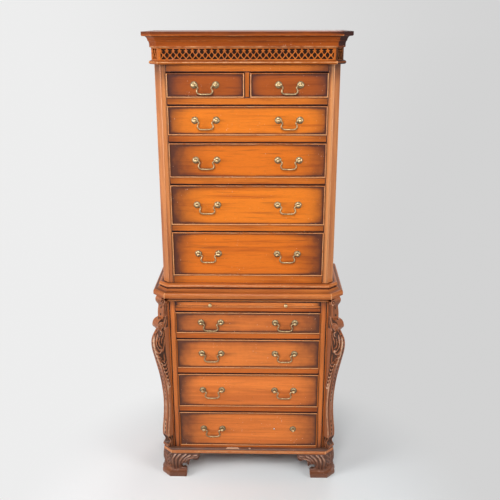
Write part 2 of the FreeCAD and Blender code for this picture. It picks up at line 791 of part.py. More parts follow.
def cock_bead(node, x0, z0, x1, z1, nose, rear, upright):
    """One cock bead: a strip round a drawer front with a rounded nose that stands proud."""
    bead = size("bead_width")
    curl = size("bead_round")
    depth = rear - nose
    section = [(-bead / 2, depth / 2), (-bead / 2, curl - depth / 2, QUARTER), (curl - bead / 2, -depth / 2),
               (bead / 2 - curl, -depth / 2, QUARTER), (bead / 2, curl - depth / 2), (bead / 2, depth / 2)]
    body = doc.addObject("PartDesign::Body", node + "_bead")
    if upright:
        sketch = outline(body, "XY_Plane", section, "Section")
        padded(body, sketch, z1 - z0)
    else:
        sketch = outline(body, "YZ_Plane", [(corner[1], corner[0]) + tuple(-part for part in corner[2:])
                                            for corner in section], "Section")
        padded(body, sketch, x1 - x0)
    place(body, (x0 + x1) / 2, (nose + rear) / 2, (z0 + z1) / 2)
    keep(node, body)


def drawer(node, middle, half, front, depth, bottom, top, handles):
    """A drawer: front, beads, two sides, back and bottom."""
    spread = size("bolt_half")
    holes = [x + spread * side for x in handles for side in (-1, 1)]
    drawer_front(node, middle, half, front, bottom, top, holes)
    rear = front + size("panel_sunk") + size("panel_thickness")
    end = front + depth - size("back_thickness") - size("drawer_back_gap")
    wall = size("drawer_side_thickness")
    wall_top = top - size("drawer_side_drop")
    board(node, (middle + half - wall, rear, bottom), (middle + half, end, wall_top))
    board(node, (middle - half, rear, bottom), (middle - half + wall, end, wall_top))
    floor_low = bottom + size("drawer_bottom_rise")
    floor_top = floor_low + size("drawer_bottom_thickness")
    board(node, (middle - half + wall, rear, floor_low), (middle + half - wall, end, floor_top))
    board(node, (middle - half + wall, end - wall, floor_top), (middle + half - wall, end, wall_top))


# Half of a turned knob, in shares of its radius and length, a third share being a bend
KNOB_SHARES = (
    (0, 0), (0, 1.0, 0.9), (1.0, 0.62, 0.9), (0.45, 0.30), (0.45, 0.12), (0.80, 0.10), (0.80, 0),
)


def masters():
    """The turned and bent brass pieces that every handle repeats."""
    sunk = size("panel_sunk")
    rose_radius = size("rose_radius")
    rise = size("rose_height")
    hole = size("bolt_radius") + size("rose_clearance")
    rose = turned("rose", [
        (hole, 0), (hole, -rise), (size("ball_radius"), -rise, DOME), (rose_radius, -rise / 4),
        (rose_radius, 0)])
    bolt = size("bolt_radius")
    neck = size("neck_radius")
    ball = size("ball_radius")
    out = size("ball_out")
    inside = size("panel_thickness") + size("nut_thickness") + size("bolt_tail")
    stem = turned("bolt", [
        (0, inside), (0, -(out + ball), QUARTER), (ball, -out, BALL), (neck, sunk - (out - ball)),
        (neck, -rise), (bolt, -rise), (bolt, inside)])
    sketch = stem.newObject("Sketcher::SketchObject", "Bore")
    plane = [item for item in stem.Origin.OriginFeatures if item.Role == "YZ_Plane"][0]
    sketch.AttachmentSupport = [(plane, "")]
    sketch.MapMode = "FlatFace"
    draw_circle(sketch, -out, 0, size("wire_radius") + size("pin_clearance"))
    cut_through(stem, sketch)
    nut = doc.addObject("PartDesign::Body", "nut")
    half = size("nut_half")
    sketch = outline(nut, "XZ_Plane", [(-half, -half), (half, -half), (half, half), (-half, half)], "Square")
    draw_circle(sketch, 0, 0, hole)
    padded(nut, sketch, size("nut_thickness"))
    return rose, stem, nut


def bent_bail():
    """A swan-neck bail, hanging: pins, necks, a drop and a thicker grip."""
    bolt = size("bolt_half").value
    drop = size("bail_drop").value
    wire = size("wire_radius").value
    bulge_drop = drop - size("bail_bulge_rise").value
    half = [
        (bolt + size("pin_overlap").value, 0, 0),
        (bolt - size("bail_neck_inset").value, 0, size("bail_top_bend").value),
        (bolt - size("bail_bulge_inset").value, -bulge_drop, size("bail_side_bend").value),
        (bolt - size("bail_turn_inset").value, -drop, size("bail_foot_bend").value),
    ]
    route = half + [(-x, z, bend) for x, z, bend in reversed(half)]
    points = [FreeCAD.Vector(x, 0, z) for x, z, _ in route]
    bends = [bend for _, _, bend in route[1:]]
    edges = []
    start = points[0]
    for before, corner, after, bend in zip(points, points[1:], points[2:], bends):
        into = (before - corner).normalize()
        away = (after - corner).normalize()
        half_angle = into.getAngle(away) / 2
        cut = bend / math.tan(half_angle)
        middle_way = (into + away).normalize()
        centre = corner + middle_way * (bend / math.sin(half_angle))
        edges.append(Part.makeLine(start, corner + into * cut))
        edges.append(Part.Arc(corner + into * cut, centre - middle_way * bend, corner + away * cut).toShape())
        start = corner + away * cut
    edges.append(Part.makeLine(start, points[-1]))
    section = Part.Wire(Part.makeCircle(wire, points[0], FreeCAD.Vector(-1, 0, 0)))
    rod = Part.Wire(edges).makePipeShell([section], True, False)
    grip = size("bail_grip_half").value
    swell = size("bail_grip_radius").value
    ends = [FreeCAD.Vector(x, 0, wire * 0.9 - drop) for x in (-grip, grip)]
    crown = Part.Arc(ends[0], FreeCAD.Vector(0, 0, swell - drop), ends[1]).toShape()
    axis = [FreeCAD.Vector(x, 0, -drop) for x in (-grip, grip)]
    lines = [Part.makeLine(axis[0], ends[0]), crown, Part.makeLine(ends[1], axis[1])]
    lines.append(Part.makeLine(axis[1], axis[0]))
    swelling = Part.Face(Part.Wire(lines)).revolve(axis[0], FreeCAD.Vector(1, 0, 0), 360)
    return rod.fuse(swelling).removeSplitter()


def copied(node, name, shape, x, y, z):
    """One more copy of a repeated piece, at a place that the sheet drives."""
    piece = doc.addObject("Part::Feature", name)
    piece.Shape = shape
    place(piece, x, y, z)
    keep(node, piece)


def handle(drawer_node, bail_node, x, front, z, missing_left=False):
    """A handle: two roses, two bolts with nuts inside, and a bail if it still has one."""
    face = front + size("panel_sunk")
    brass = drawer_node + "_bolts"
    for side in (-1, 1):
        if missing_left and side < 0:
            continue
        at = x + size("bolt_half") * side
        inside = face + size("panel_thickness") + size("nut_thickness") / 2
        copied(brass, "rose_copy", rose_shape, at, face, z)
        copied(brass, "bolt_copy", bolt_shape, at, face, z)
        copied(brass, "nut_copy", nut_shape, at, inside, z)
    if not missing_left:
        copied(bail_node, "bail_copy", bail_shape, x, face - size("ball_out"), z)


def drawers_and_handles():
    """All the drawers. The bottom drawer has lost a bail and one of its roses."""
    gap = size("drawer_side_gap")
    cases = (
        (upper_stack, upper_opening - gap, upper_front, size("upper_depth"), size("upper_handle_spread")),
        (lower_stack, lower_opening - gap, lower_front, size("lower_depth"), size("lower_handle_spread")),
    )
    none = sized(0)
    for stack, half, front, depth, spread in cases:
        for name, bottom, top in stack:
            z = (bottom + top) / 2 + size("handle_rise")
            if name == "short_drawer":
                inner = size("muntin_half") + gap
                middle = (half + inner) / 2
                for side, sign in (("left", -1), ("right", 1)):
                    node = "short_drawer_" + side
                    at = (spread - middle) * sign
                    drawer(node, middle * sign, (half - inner) / 2, front, depth, bottom, top, [at])
                    handle(node, node + "_bail", spread * sign, front, z)
                continue
            drawer(name, none, half, front, depth, bottom, top, [-spread, spread])
            for side, sign in (("left", -1), ("right", 1)):
                lost = name == "lower_drawer_4" and side == "right"
                handle(name, "%s_%s_bail" % (name, side), spread * sign, front, z, missing_left=lost)


def brushing_slide():
    """The pull-out slide under the waist, with a deep front edge and two brass knobs."""
    half = lower_opening - size("drawer_side_gap")
    face = lower_front + size("panel_sunk")
    batten_rear = face + size("slide_batten")
    rear = back_board_front - size("drawer_back_gap")
    board("slide_board", (-half, face, slide_low), (half, batten_rear, slide_low + size("slide_height")))
    board("slide_board", (-half, batten_rear, slide_low),
          (half, rear, slide_low + size("slide_board_thickness")))
    radius = size("knob_radius")
    length = size("knob_length")
    half_knob = [(radius * out if out else 0, -(length * along) if along else 0, *bend)
                 for out, along, *bend in KNOB_SHARES]
    for sign in (-1, 1):
        knob = turned("slide_knob", half_knob)
        place(knob, size("slide_knob_spread") * sign, face, slide_low + size("slide_height") / 2)
        keep("slide_knobs", knob)


carcase_boards()
rails_and_runners()
mouldings()
feet()
scroll_corners()
rose_body, bolt_body, nut_body = masters()
doc.recompute()
rose_shape = rose_body.Shape.copy()
bolt_shape = bolt_body.Shape.copy()
nut_shape = nut_body.Shape.copy()
bail_shape = bent_bail()
drawers_and_handles()
brushing_slide()

for node, pieces in nodes.items():
    group = doc.addObject("Part::Compound", node + "_group")
    group.Links = pieces
    group.Label = node
doc.recompute()

faults = [item.Name for item in doc.Objects if {"Invalid", "Error"} & set(item.State)]
for item in doc.Objects:
    if item.TypeId in ("PartDesign::Pocket", "PartDesign::LinearPattern"):
        if item.Shape.Volume >= item.BaseFeature.Shape.Volume:
            faults.append(item.Name)
groups = [item for item in doc.Objects if item.TypeId == "Part::Compound"]
for group in groups:
    shape = group.Shape
    if shape.isNull() or not shape.isValid() or len(shape.Solids) != len(nodes[group.Label]):
        faults.append(group.Label)
if faults:
    raise RuntimeError("these pieces failed: " + ", ".join(faults))

os.makedirs("parts", exist_ok=True)
for group in groups:
    group.Shape.exportStep("parts/%s.step" % group.Label)
print(len(groups), "sub-parts written")
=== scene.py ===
"""A mahogany chest-on-chest with canted corners and brass handles, in a pale studio.

Sizes are in millimetres until a mesh is made, which turns them into metres. The frame of the
cabinet work has its floor at z = 0 and its front towards -y.
"""

import json
import logging
import math
from dataclasses import dataclass, field
from enum import Enum
from typing import Any, Iterable, Optional, Sequence

import bmesh
import bpy
import numpy as np
from mathutils import Matrix, Vector
from mathutils.geometry import delaunay_2d_cdt, intersect_point_line

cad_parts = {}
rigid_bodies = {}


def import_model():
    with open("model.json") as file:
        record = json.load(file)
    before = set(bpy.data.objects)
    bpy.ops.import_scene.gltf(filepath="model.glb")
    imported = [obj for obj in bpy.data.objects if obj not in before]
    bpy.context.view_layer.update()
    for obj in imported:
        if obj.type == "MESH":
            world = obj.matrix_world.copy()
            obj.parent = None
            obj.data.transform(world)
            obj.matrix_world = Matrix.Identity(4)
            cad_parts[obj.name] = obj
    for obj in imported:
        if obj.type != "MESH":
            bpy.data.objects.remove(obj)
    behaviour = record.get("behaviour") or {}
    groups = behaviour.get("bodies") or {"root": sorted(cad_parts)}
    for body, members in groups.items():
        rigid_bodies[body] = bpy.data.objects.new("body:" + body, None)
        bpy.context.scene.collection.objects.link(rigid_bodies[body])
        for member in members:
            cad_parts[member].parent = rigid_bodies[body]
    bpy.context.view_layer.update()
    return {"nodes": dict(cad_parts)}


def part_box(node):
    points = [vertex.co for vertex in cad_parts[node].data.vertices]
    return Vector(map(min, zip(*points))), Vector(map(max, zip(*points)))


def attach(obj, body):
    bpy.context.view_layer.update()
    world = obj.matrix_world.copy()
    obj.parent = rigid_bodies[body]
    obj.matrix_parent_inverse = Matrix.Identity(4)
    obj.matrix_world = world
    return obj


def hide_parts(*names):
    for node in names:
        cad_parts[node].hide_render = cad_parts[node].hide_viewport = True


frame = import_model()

log = logging.getLogger("chest")
MM = 0.001
LUMBER = np.random.default_rng(1780)


# Shader and geometry trees


class Tree:
    """A node tree with one way of making a node."""

    def __init__(self, nodes: Any, links: Any) -> None:
        """Keeps the tree's nodes and links."""
        self.nodes = nodes
        self.links = links

    def node(self, kind: str, settings: Optional[dict] = None, sockets: Optional[dict] = None) -> Any:
        """Makes a node.

        Args:
            kind: The node's type.
            settings: Its properties, set first.
            sockets: The value or link of each input, by name or number.

        Returns:
            The node.
        """
        made = self.nodes.new(kind)
        for name, value in (settings or {}).items():
            setattr(made, name, value)
        for key, value in (sockets or {}).items():
            if isinstance(value, Wire):
                self.links.new(value.socket, made.inputs[key])
            elif isinstance(value, bpy.types.NodeSocket):
                self.links.new(value, made.inputs[key])
            else:
                made.inputs[key].default_value = value
        return made


@dataclass(frozen=True)
class Wire:
    """An output socket in an expression, where + - * add Math nodes."""

    tree: Tree
    socket: Any

    def maths(self, operation: str, first: Any, second: Any = 0.0) -> "Wire":
        """Adds one Math node."""
        made = self.tree.node("ShaderNodeMath", {"operation": operation}, {0: first, 1: second})
        return Wire(self.tree, made.outputs[0])

    def __add__(self, other: Any) -> "Wire":
        """Self plus other."""
        return self.maths("ADD", self, other)

    __radd__ = __add__

    def __sub__(self, other: Any) -> "Wire":
        """Self less other."""
        return self.maths("SUBTRACT", self, other)

    def __rsub__(self, other: Any) -> "Wire":
        """Other less self."""
        return self.maths("SUBTRACT", other, self)

    def __mul__(self, other: Any) -> "Wire":
        """Self times other."""
        return self.maths("MULTIPLY", self, other)

    __rmul__ = __mul__

    def __neg__(self) -> "Wire":
        """Self with its sign turned."""
        return self.maths("MULTIPLY", self, -1.0)


class Recipe(Tree):
    """The shader tree of a material or of the world."""

    def __init__(self, owner: Any) -> None:
        """Empties the tree of a material or the world, to fill it."""
        owner.use_nodes = True
        owner.node_tree.nodes.clear()
        super().__init__(owner.node_tree.nodes, owner.node_tree.links)

    def wire(self, kind: str, settings: dict, sockets: dict, output: Any = 0) -> Wire:
        """A new node's output."""
        return Wire(self, self.node(kind, settings, sockets).outputs[output])

    def place(self, kind: str = "Object") -> Wire:
        """The place on the object, or another coordinate."""
        return self.wire("ShaderNodeTexCoord", {}, {}, kind)

    def part(self, vector: Wire, axis: str) -> Wire:
        """One part of a vector."""
        return self.wire("ShaderNodeSeparateXYZ", {}, {"Vector": vector}, axis)

    def noise(self, at: Wire, cells: Any, detail: float = 3.0, rough: float = 0.55) -> Wire:
        """Noise from 0 to 1.

        Args:
            at: The place, in metres.
            cells: Cells per metre, one number or one for each direction.
            detail: Octaves.
            rough: How strong the fine octaves are.

        Returns:
            The noise.
        """
        stretch = (cells,) * 3 if isinstance(cells, float) else cells
        place = self.wire("ShaderNodeVectorMath", {"operation": "MULTIPLY"}, {0: at, 1: stretch})
        return self.wire("ShaderNodeTexNoise", {}, {
            "Vector": place, "Scale": 1.0, "Detail": detail, "Roughness": rough})

    def step(self, value: Wire, low: float, high: float, top: float = 1.0) -> Wire:
        """Value eased from 0 at low to top at high."""
        return self.wire("ShaderNodeMapRange", {"interpolation_type": "SMOOTHSTEP"}, {
            "Value": value, "From Min": low, "From Max": high, "To Min": 0.0, "To Max": top})

    def mix(self, share: Any, first: Any, second: Any) -> Wire:
        """A colour between two colours."""
        sides = {0: share, 6: self.colour(first), 7: self.colour(second)}
        return self.wire("ShaderNodeMix", {"data_type": "RGBA"}, sides, 2)

    @staticmethod
    def colour(value: Any) -> Any:
        """A colour as a socket takes it."""
        return value if isinstance(value, Wire) else (*value, 1.0)

    def attribute(self, name: str, output: str = "Fac") -> Wire:
        """An attribute of the mesh."""
        return self.wire("ShaderNodeAttribute", {"attribute_name": name}, {}, output)

    def bumped(self, height: Wire, strength: float, depth: float) -> Wire:
        """The normal of a height."""
        return self.wire("ShaderNodeBump", {}, {
            "Height": height, "Strength": strength, "Distance": depth}, "Normal")

    def surface(self, **sockets: Any) -> None:
        """Ends the tree in a Principled shader.

        Args:
            sockets: Its inputs, by name with underscores for spaces.
        """
        values = {name.replace("_", " "): value for name, value in sockets.items()}
        shader = self.node("ShaderNodeBsdfPrincipled", {}, values)
        self.node("ShaderNodeOutputMaterial", {}, {"Surface": shader.outputs[0]})


class Grain(Enum):
    """Where a wood reads its grain: along an axis of the cabinet, or from the piece itself."""

    ACROSS = (0.0, 0.0, 0.0)
    DEEP = (0.0, 0.0, math.pi / 2)
    UPRIGHT = (0.0, math.pi / 2, 0.0)
    OWN = None


class Finish:
    """A finish, whose material is made once."""

    name: str

    def made(self) -> bpy.types.Material:
        """The material."""
        material = bpy.data.materials.get(self.name)
        if not material:
            material = bpy.data.materials.new(self.name)
            self.fill(Recipe(material))
        return material

    def fill(self, recipe: Recipe) -> None:
        """Fills the material's tree."""
        raise NotImplementedError


@dataclass(frozen=True)
class Wood(Finish):
    """A polished or bare wood: grime and painted shade where the tone is low, rubbing and painted highlight
    where high.
    """

    name: str
    light: tuple
    deep: tuple
    dirt_and_shade: tuple = (0.040, 0.011, 0.008)
    wear_and_highlight: tuple = (0.72, 0.36, 0.16)
    grain: Grain = Grain.OWN
    figure: float = 1.0
    roughness: float = 0.30
    coat: float = 0.12
    shine: float = 0.20
    chips: float = 0.5
    flecks: float = 0.3
    # Darkening towards the end of an axis: painted shade on the right cants and under the cornice, among
    # others.
    soil_and_shade: tuple = ()
    # Pale upright bands across x: painted highlight.
    painted_glints: tuple = ()

    CHIPPED = (0.78, 0.56, 0.40)

    def fill(self, recipe: Recipe) -> None:
        """Lays the grain, then grime and painted shade, rubbing and painted highlight, and chips over it."""
        here = recipe.place()
        if self.grain is Grain.OWN:
            at = recipe.attribute("grain", "Vector")
        else:
            at = recipe.wire("ShaderNodeMapping", {}, {"Vector": here, "Rotation": self.grain.value})
        broad = recipe.noise(at, (1.3, 9.0, 9.0), 2.0)
        streak = recipe.noise(at, (3.2, 70.0, 70.0), 4.0, 0.62)
        fine = recipe.noise(at, (9.0, 330.0, 330.0), 3.0, 0.6)
        figure = broad * 0.45 + streak * 0.4 * self.figure + fine * 0.15
        colour = recipe.mix(recipe.step(figure, 0.36, 0.60), self.deep, self.light)
        flecked = recipe.step(recipe.noise(at, (5.5, 120.0, 120.0), 2.0), 0.60, 0.74, self.flecks)
        pored = recipe.step(recipe.noise(at, (55.0, 1500.0, 1500.0), 2.0), 0.56, 0.72, 0.30)
        for share in (flecked, pored):
            colour = recipe.mix(share, colour, self.dirt_and_shade)
        tone = recipe.attribute("tone")
        broken = recipe.noise(here, 55.0)
        cloudy = recipe.noise(here, 13.0, 2.0)
        # Darkness from the tone and from darkening along an axis: grime and painted shade.
        soiled_and_shaded = self.soiled_and_shaded(recipe, here, tone)
        dark = recipe.step(soiled_and_shaded * (0.45 + cloudy * 0.7 + broken * 0.4), 0.0, 1.0)
        colour = recipe.mix(dark, colour, self.dirt_and_shade)
        # Paleness where the tone is high: rubbing and painted highlight.
        pale = recipe.step(tone * (broken * 2.0 + cloudy - 0.6), 0.15, 0.95, 0.85)
        # Painted highlight: pale upright bands across x, as down the right stile's arris.
        for first, last, depth in self.painted_glints:
            across = recipe.part(here, "X")
            pale = pale + recipe.step(across, first, first + 0.008, depth)
            pale = pale - recipe.step(across, last - 0.004, last, depth)
        colour = recipe.mix(pale, colour, self.wear_and_highlight)
        specks = recipe.noise(here, 210.0, 1.0) + recipe.noise(here, 17.0, 2.0) * 0.35
        chipped = recipe.step(specks, 0.955, 0.985, self.chips)
        height = fine * 0.4 - pored * 1.2 - chipped * 1.5
        recipe.surface(
            Base_Color=recipe.mix(chipped, colour, self.CHIPPED),
            Roughness=self.roughness + streak * 0.10 + dark * 0.22 + pale * 0.08,
            Specular_IOR_Level=self.shine, Coat_Weight=self.coat, Coat_Roughness=0.16,
            Normal=recipe.bumped(height, 0.35, 0.0004))

    def soiled_and_shaded(self, recipe: Recipe, here: Wire, tone: Wire) -> Wire:
        """How dark the surface is: grime and painted shade.

        Args:
            recipe: The material's tree.
            here: The place on the object.
            tone: The mesh's tone.

        Returns:
            The darkness, from the tone and from darkening towards the end of an axis, which in places is
            painted shade, as on the right cants and under the cornice. A plus before the axis keeps that
            darkening to its positive side.
        """
        soiled_and_shaded = -tone
        for axis, first, last, depth in self.soil_and_shade:
            way = recipe.part(here, axis[-1])
            if not axis.startswith("+"):
                way = way.maths("ABSOLUTE", way)
            soiled_and_shaded = soiled_and_shaded + recipe.step(way, first, last, depth)
        return soiled_and_shaded


@dataclass(frozen=True)
class Brass(Finish):
    """Aged brass, dull and brown where its tone is low."""

    name: str = "aged_brass"
    bright: tuple = (0.60, 0.455, 0.245)
    aged: tuple = (0.27, 0.190, 0.100)
    dull: tuple = (0.055, 0.036, 0.018)

    def fill(self, recipe: Recipe) -> None:
        """Clouds the brass and lays the grime."""
        cloud = recipe.noise(recipe.place(), 120.0, 4.0, 0.6)
        fine = recipe.noise(recipe.place(), 900.0, 2.0)
        tone = recipe.attribute("tone")
        colour = recipe.mix(recipe.step(cloud + tone * 0.5, 0.3, 0.75), self.aged, self.bright)
        grime = recipe.step(-tone * (0.5 + cloud), 0.05, 0.85)
        recipe.surface(
            Base_Color=recipe.mix(grime, colour, self.dull), Metallic=1.0 - grime * 0.6,
            Roughness=0.30 + cloud * 0.16 + grime * 0.3,
            Normal=recipe.bumped(cloud * 0.6 + fine * 0.4, 0.25, 0.0003))


@dataclass(frozen=True)
class Paper(Finish):
    """The pale studio paper: lit near the chest, and evenly pale far from it and in the sky."""

    name: str = "studio_paper"
    colour: tuple = (0.87, 0.875, 0.88)
    shade: tuple = (0.30, 0.30, 0.31)
    dim: tuple = (0.77, 0.80, 0.81)
    left: tuple = (0.85, 0.85, 0.85)
    right: tuple = (0.65, 0.65, 0.65)
    middle: tuple = (0.0, -0.25, 0.0)
    near: float = 0.45
    far: float = 0.95

    BLACK = (0.0, 0.0, 0.0)

    def seen(self, recipe: Recipe) -> Wire:
        """1 for what the eye or a reflection sees, and 0 for the light that bounces."""
        rays = recipe.node("ShaderNodeLightPath").outputs
        seen = Wire(recipe, rays["Is Camera Ray"])
        for ray in ("Is Glossy Ray", "Is Transmission Ray"):
            seen = seen.maths("MAXIMUM", seen, rays[ray])
        return seen

    def glow(self, recipe: Recipe, way: Wire) -> Any:
        """The even paleness in a direction from the chest."""
        aim = recipe.wire("ShaderNodeVectorMath", {"operation": "NORMALIZE"}, {0: way}, "Vector")
        return recipe.mix(recipe.step(recipe.part(aim, "X"), -0.35, 0.35), self.left, self.right)

    def fill(self, recipe: Recipe) -> None:
        """Lights the paper near the chest and leaves the rest to the glow."""
        here, seen = recipe.place(), self.seen(recipe)
        length = recipe.wire("ShaderNodeVectorMath", {"operation": "DISTANCE"}, {
            0: here, 1: self.middle}, "Value")
        fade = recipe.step(length, self.near, self.far) * seen
        # Painted shade: the near floor darker and cooler to the right of the chest.
        dimmed = recipe.mix(recipe.step(recipe.part(here, "X"), -0.35, 0.15), self.colour, self.dim)
        recipe.surface(
            Base_Color=recipe.mix(fade, recipe.mix(seen, self.shade, dimmed), self.BLACK),
            Roughness=0.9, Specular_IOR_Level=0.0,
            Emission_Color=recipe.mix(fade, self.BLACK, self.glow(recipe, here)),
            Emission_Strength=1.0)

    def sky(self, ambient: tuple) -> bpy.types.World:
        """The world: as pale as the far paper to the eye, and a weak light round the chest."""
        world = bpy.data.worlds.new("studio")
        recipe = Recipe(world)
        glow = self.glow(recipe, recipe.place("Generated"))
        back = recipe.node("ShaderNodeBackground", {}, {
            "Color": recipe.mix(self.seen(recipe), ambient, glow), "Strength": 1.0})
        recipe.node("ShaderNodeOutputWorld", {}, {"Surface": back.outputs[0]})
        return world


# Upper posts: darker towards the top, painted shadow under the cornice, and a painted highlight down the
# right stile's arris.
FRAME_WOOD = Wood("frame_mahogany", (0.64, 0.234, 0.074), (0.37, 0.112, 0.036), coat=0.12, shine=0.22,
                  soil_and_shade=(("Z", 1.54, 1.655, 0.7),), painted_glints=((0.290, 0.305, 0.34),))
LOWER_FRAME = Wood("lower_frame_mahogany", (0.67, 0.186, 0.034), (0.39, 0.092, 0.018), coat=0.2,
                   shine=0.3, soil_and_shade=(("Z", 0.72, 0.785, 0.6), ("Z", 0.19, 0.12, 0.6)))
RAIL_WOOD = Wood("rail_mahogany", (0.64, 0.168, 0.018), (0.37, 0.080, 0.010),
                 soil_and_shade=(("X", 0.17, 0.30, 0.5), ("Z", 1.50, 1.56, 0.22)))
LOWER_RAIL = Wood("lower_rail_mahogany", (0.57, 0.138, 0.022), (0.33, 0.070, 0.011),
                  soil_and_shade=(("X", 0.17, 0.30, 0.4),))
# Astragal: darker on the right cant, painted shade.
BEAD_WOOD = Wood("bead_mahogany", (0.46, 0.122, 0.016), (0.28, 0.060, 0.009), coat=0.08, shine=0.15,
                 soil_and_shade=(("+X", 0.27, 0.34, 0.4),))
# Cornice: darker on the right cant, painted shade.
MOULDING_WOOD = Wood("moulding_mahogany", (0.39, 0.084, 0.009), (0.22, 0.042, 0.005), coat=0.06,
                     shine=0.12, soil_and_shade=(("+X", 0.27, 0.36, 0.5),))
WAIST_WOOD = Wood("waist_mahogany", (0.58, 0.172, 0.036), (0.34, 0.086, 0.020),
                  soil_and_shade=(("X", 0.24, 0.36, 0.3),))
BASE_WOOD = Wood("base_mahogany", (0.64, 0.208, 0.064), (0.40, 0.112, 0.035), dirt_and_shade=(0.105, 0.050, 0.033),
                 soil_and_shade=(("X", 0.2, 0.32, 0.3),))
CARVED_WOOD = Wood("carved_mahogany", (0.49, 0.162, 0.056), (0.30, 0.092, 0.033),
                   dirt_and_shade=(0.050, 0.018, 0.008), wear_and_highlight=(0.68, 0.44, 0.29), figure=0.6, coat=0.15, shine=0.25)
FOOT_WOOD = Wood("foot_mahogany", (0.28, 0.106, 0.049), (0.17, 0.060, 0.030),
                 dirt_and_shade=(0.040, 0.016, 0.010), wear_and_highlight=(0.53, 0.32, 0.22), figure=0.6, coat=0.2, shine=0.3)
# Fret: darker on the right cant, painted shade; its dark colour fills the painted shade in the holes.
FRET_WOOD = Wood("fret_mahogany", (0.68, 0.184, 0.026), (0.42, 0.102, 0.015), dirt_and_shade=(0.028, 0.010, 0.003),
                 figure=0.6, shine=0.12, soil_and_shade=(("+X", 0.298, 0.309, 0.95),))
SLIDE_WOOD = Wood("slide_mahogany", (0.76, 0.228, 0.052), (0.47, 0.124, 0.029),
                  soil_and_shade=(("X", 0.2, 0.29, 0.4),))
SHORT_FRONT = Wood("short_front_mahogany", (0.38, 0.082, 0.011), (0.22, 0.041, 0.007),
                   dirt_and_shade=(0.070, 0.019, 0.012), figure=1.3, flecks=0.35)
DEEP_FRONT = Wood("deep_front_mahogany", (0.70, 0.166, 0.013), (0.37, 0.066, 0.008),
                  dirt_and_shade=(0.085, 0.024, 0.012), figure=1.4, flecks=0.38)
UPPER_FRONT = Wood("upper_front_mahogany", (0.77, 0.200, 0.016), (0.42, 0.078, 0.009),
                   dirt_and_shade=(0.085, 0.024, 0.012), figure=1.4, flecks=0.34)
LOWER_FRONT = Wood("lower_front_mahogany", (0.88, 0.247, 0.048), (0.62, 0.156, 0.032),
                   dirt_and_shade=(0.105, 0.036, 0.020), figure=0.9, chips=0.8, soil_and_shade=(("Z", 0.40, 0.60, 0.28),))
SIDE_WOOD = Wood("side_mahogany", (0.44, 0.122, 0.024), (0.25, 0.060, 0.014), grain=Grain.UPRIGHT)
TOP_WOOD = Wood("top_mahogany", (0.40, 0.110, 0.024), (0.24, 0.058, 0.014), grain=Grain.ACROSS)
OAK = Wood("drawer_oak", (0.50, 0.325, 0.165), (0.34, 0.20, 0.088), dirt_and_shade=(0.12, 0.07, 0.035),
           wear_and_highlight=(0.60, 0.45, 0.28), roughness=0.6, coat=0.0, chips=0.2)
RUNNER_OAK = Wood("runner_oak", (0.44, 0.285, 0.145), (0.29, 0.17, 0.075), dirt_and_shade=(0.10, 0.06, 0.03),
                  grain=Grain.DEEP, roughness=0.65, coat=0.0, chips=0.2)
BACK_OAK = Wood("back_oak", (0.36, 0.22, 0.115), (0.22, 0.125, 0.06), dirt_and_shade=(0.08, 0.05, 0.03),
                grain=Grain.UPRIGHT, roughness=0.7, coat=0.0, chips=0.3)
PLUG = Wood("bare_wood", (0.93, 0.90, 0.84), (0.85, 0.80, 0.72), dirt_and_shade=(0.5, 0.42, 0.33), coat=0.0,
            roughness=0.7)
BARE_WOOD = Wood("bare_mahogany", (0.66, 0.44, 0.30), (0.50, 0.31, 0.20), dirt_and_shade=(0.30, 0.17, 0.10), coat=0.0,
                 roughness=0.6)
BRASS = Brass()


# Meshes


def placed(name: str, data: Any) -> bpy.types.Object:
    """A new object in the scene."""
    made = bpy.data.objects.new(name, data)
    bpy.context.scene.collection.objects.link(made)
    return made


def ramp(value: Any, start: Any, width: float) -> Any:
    """0 at start and 1 at start + width, even between them and level beyond."""
    return np.clip((value - start) / width, 0, 1)


def zone(value: Any, low: float, rise: float, high: float, fall: float) -> Any:
    """1 between low and high, with an even rise after low and an even fall before high."""
    return ramp(value, low, rise) * ramp(value, high, -fall)


def rims(loops: Sequence) -> list:
    """The edges round each loop, as pairs of point numbers."""
    edges, start = [], 0
    for loop in loops:
        count = len(loop)
        edges += [(start + i, start + (i + 1) % count) for i in range(count)]
        start += count
    return edges


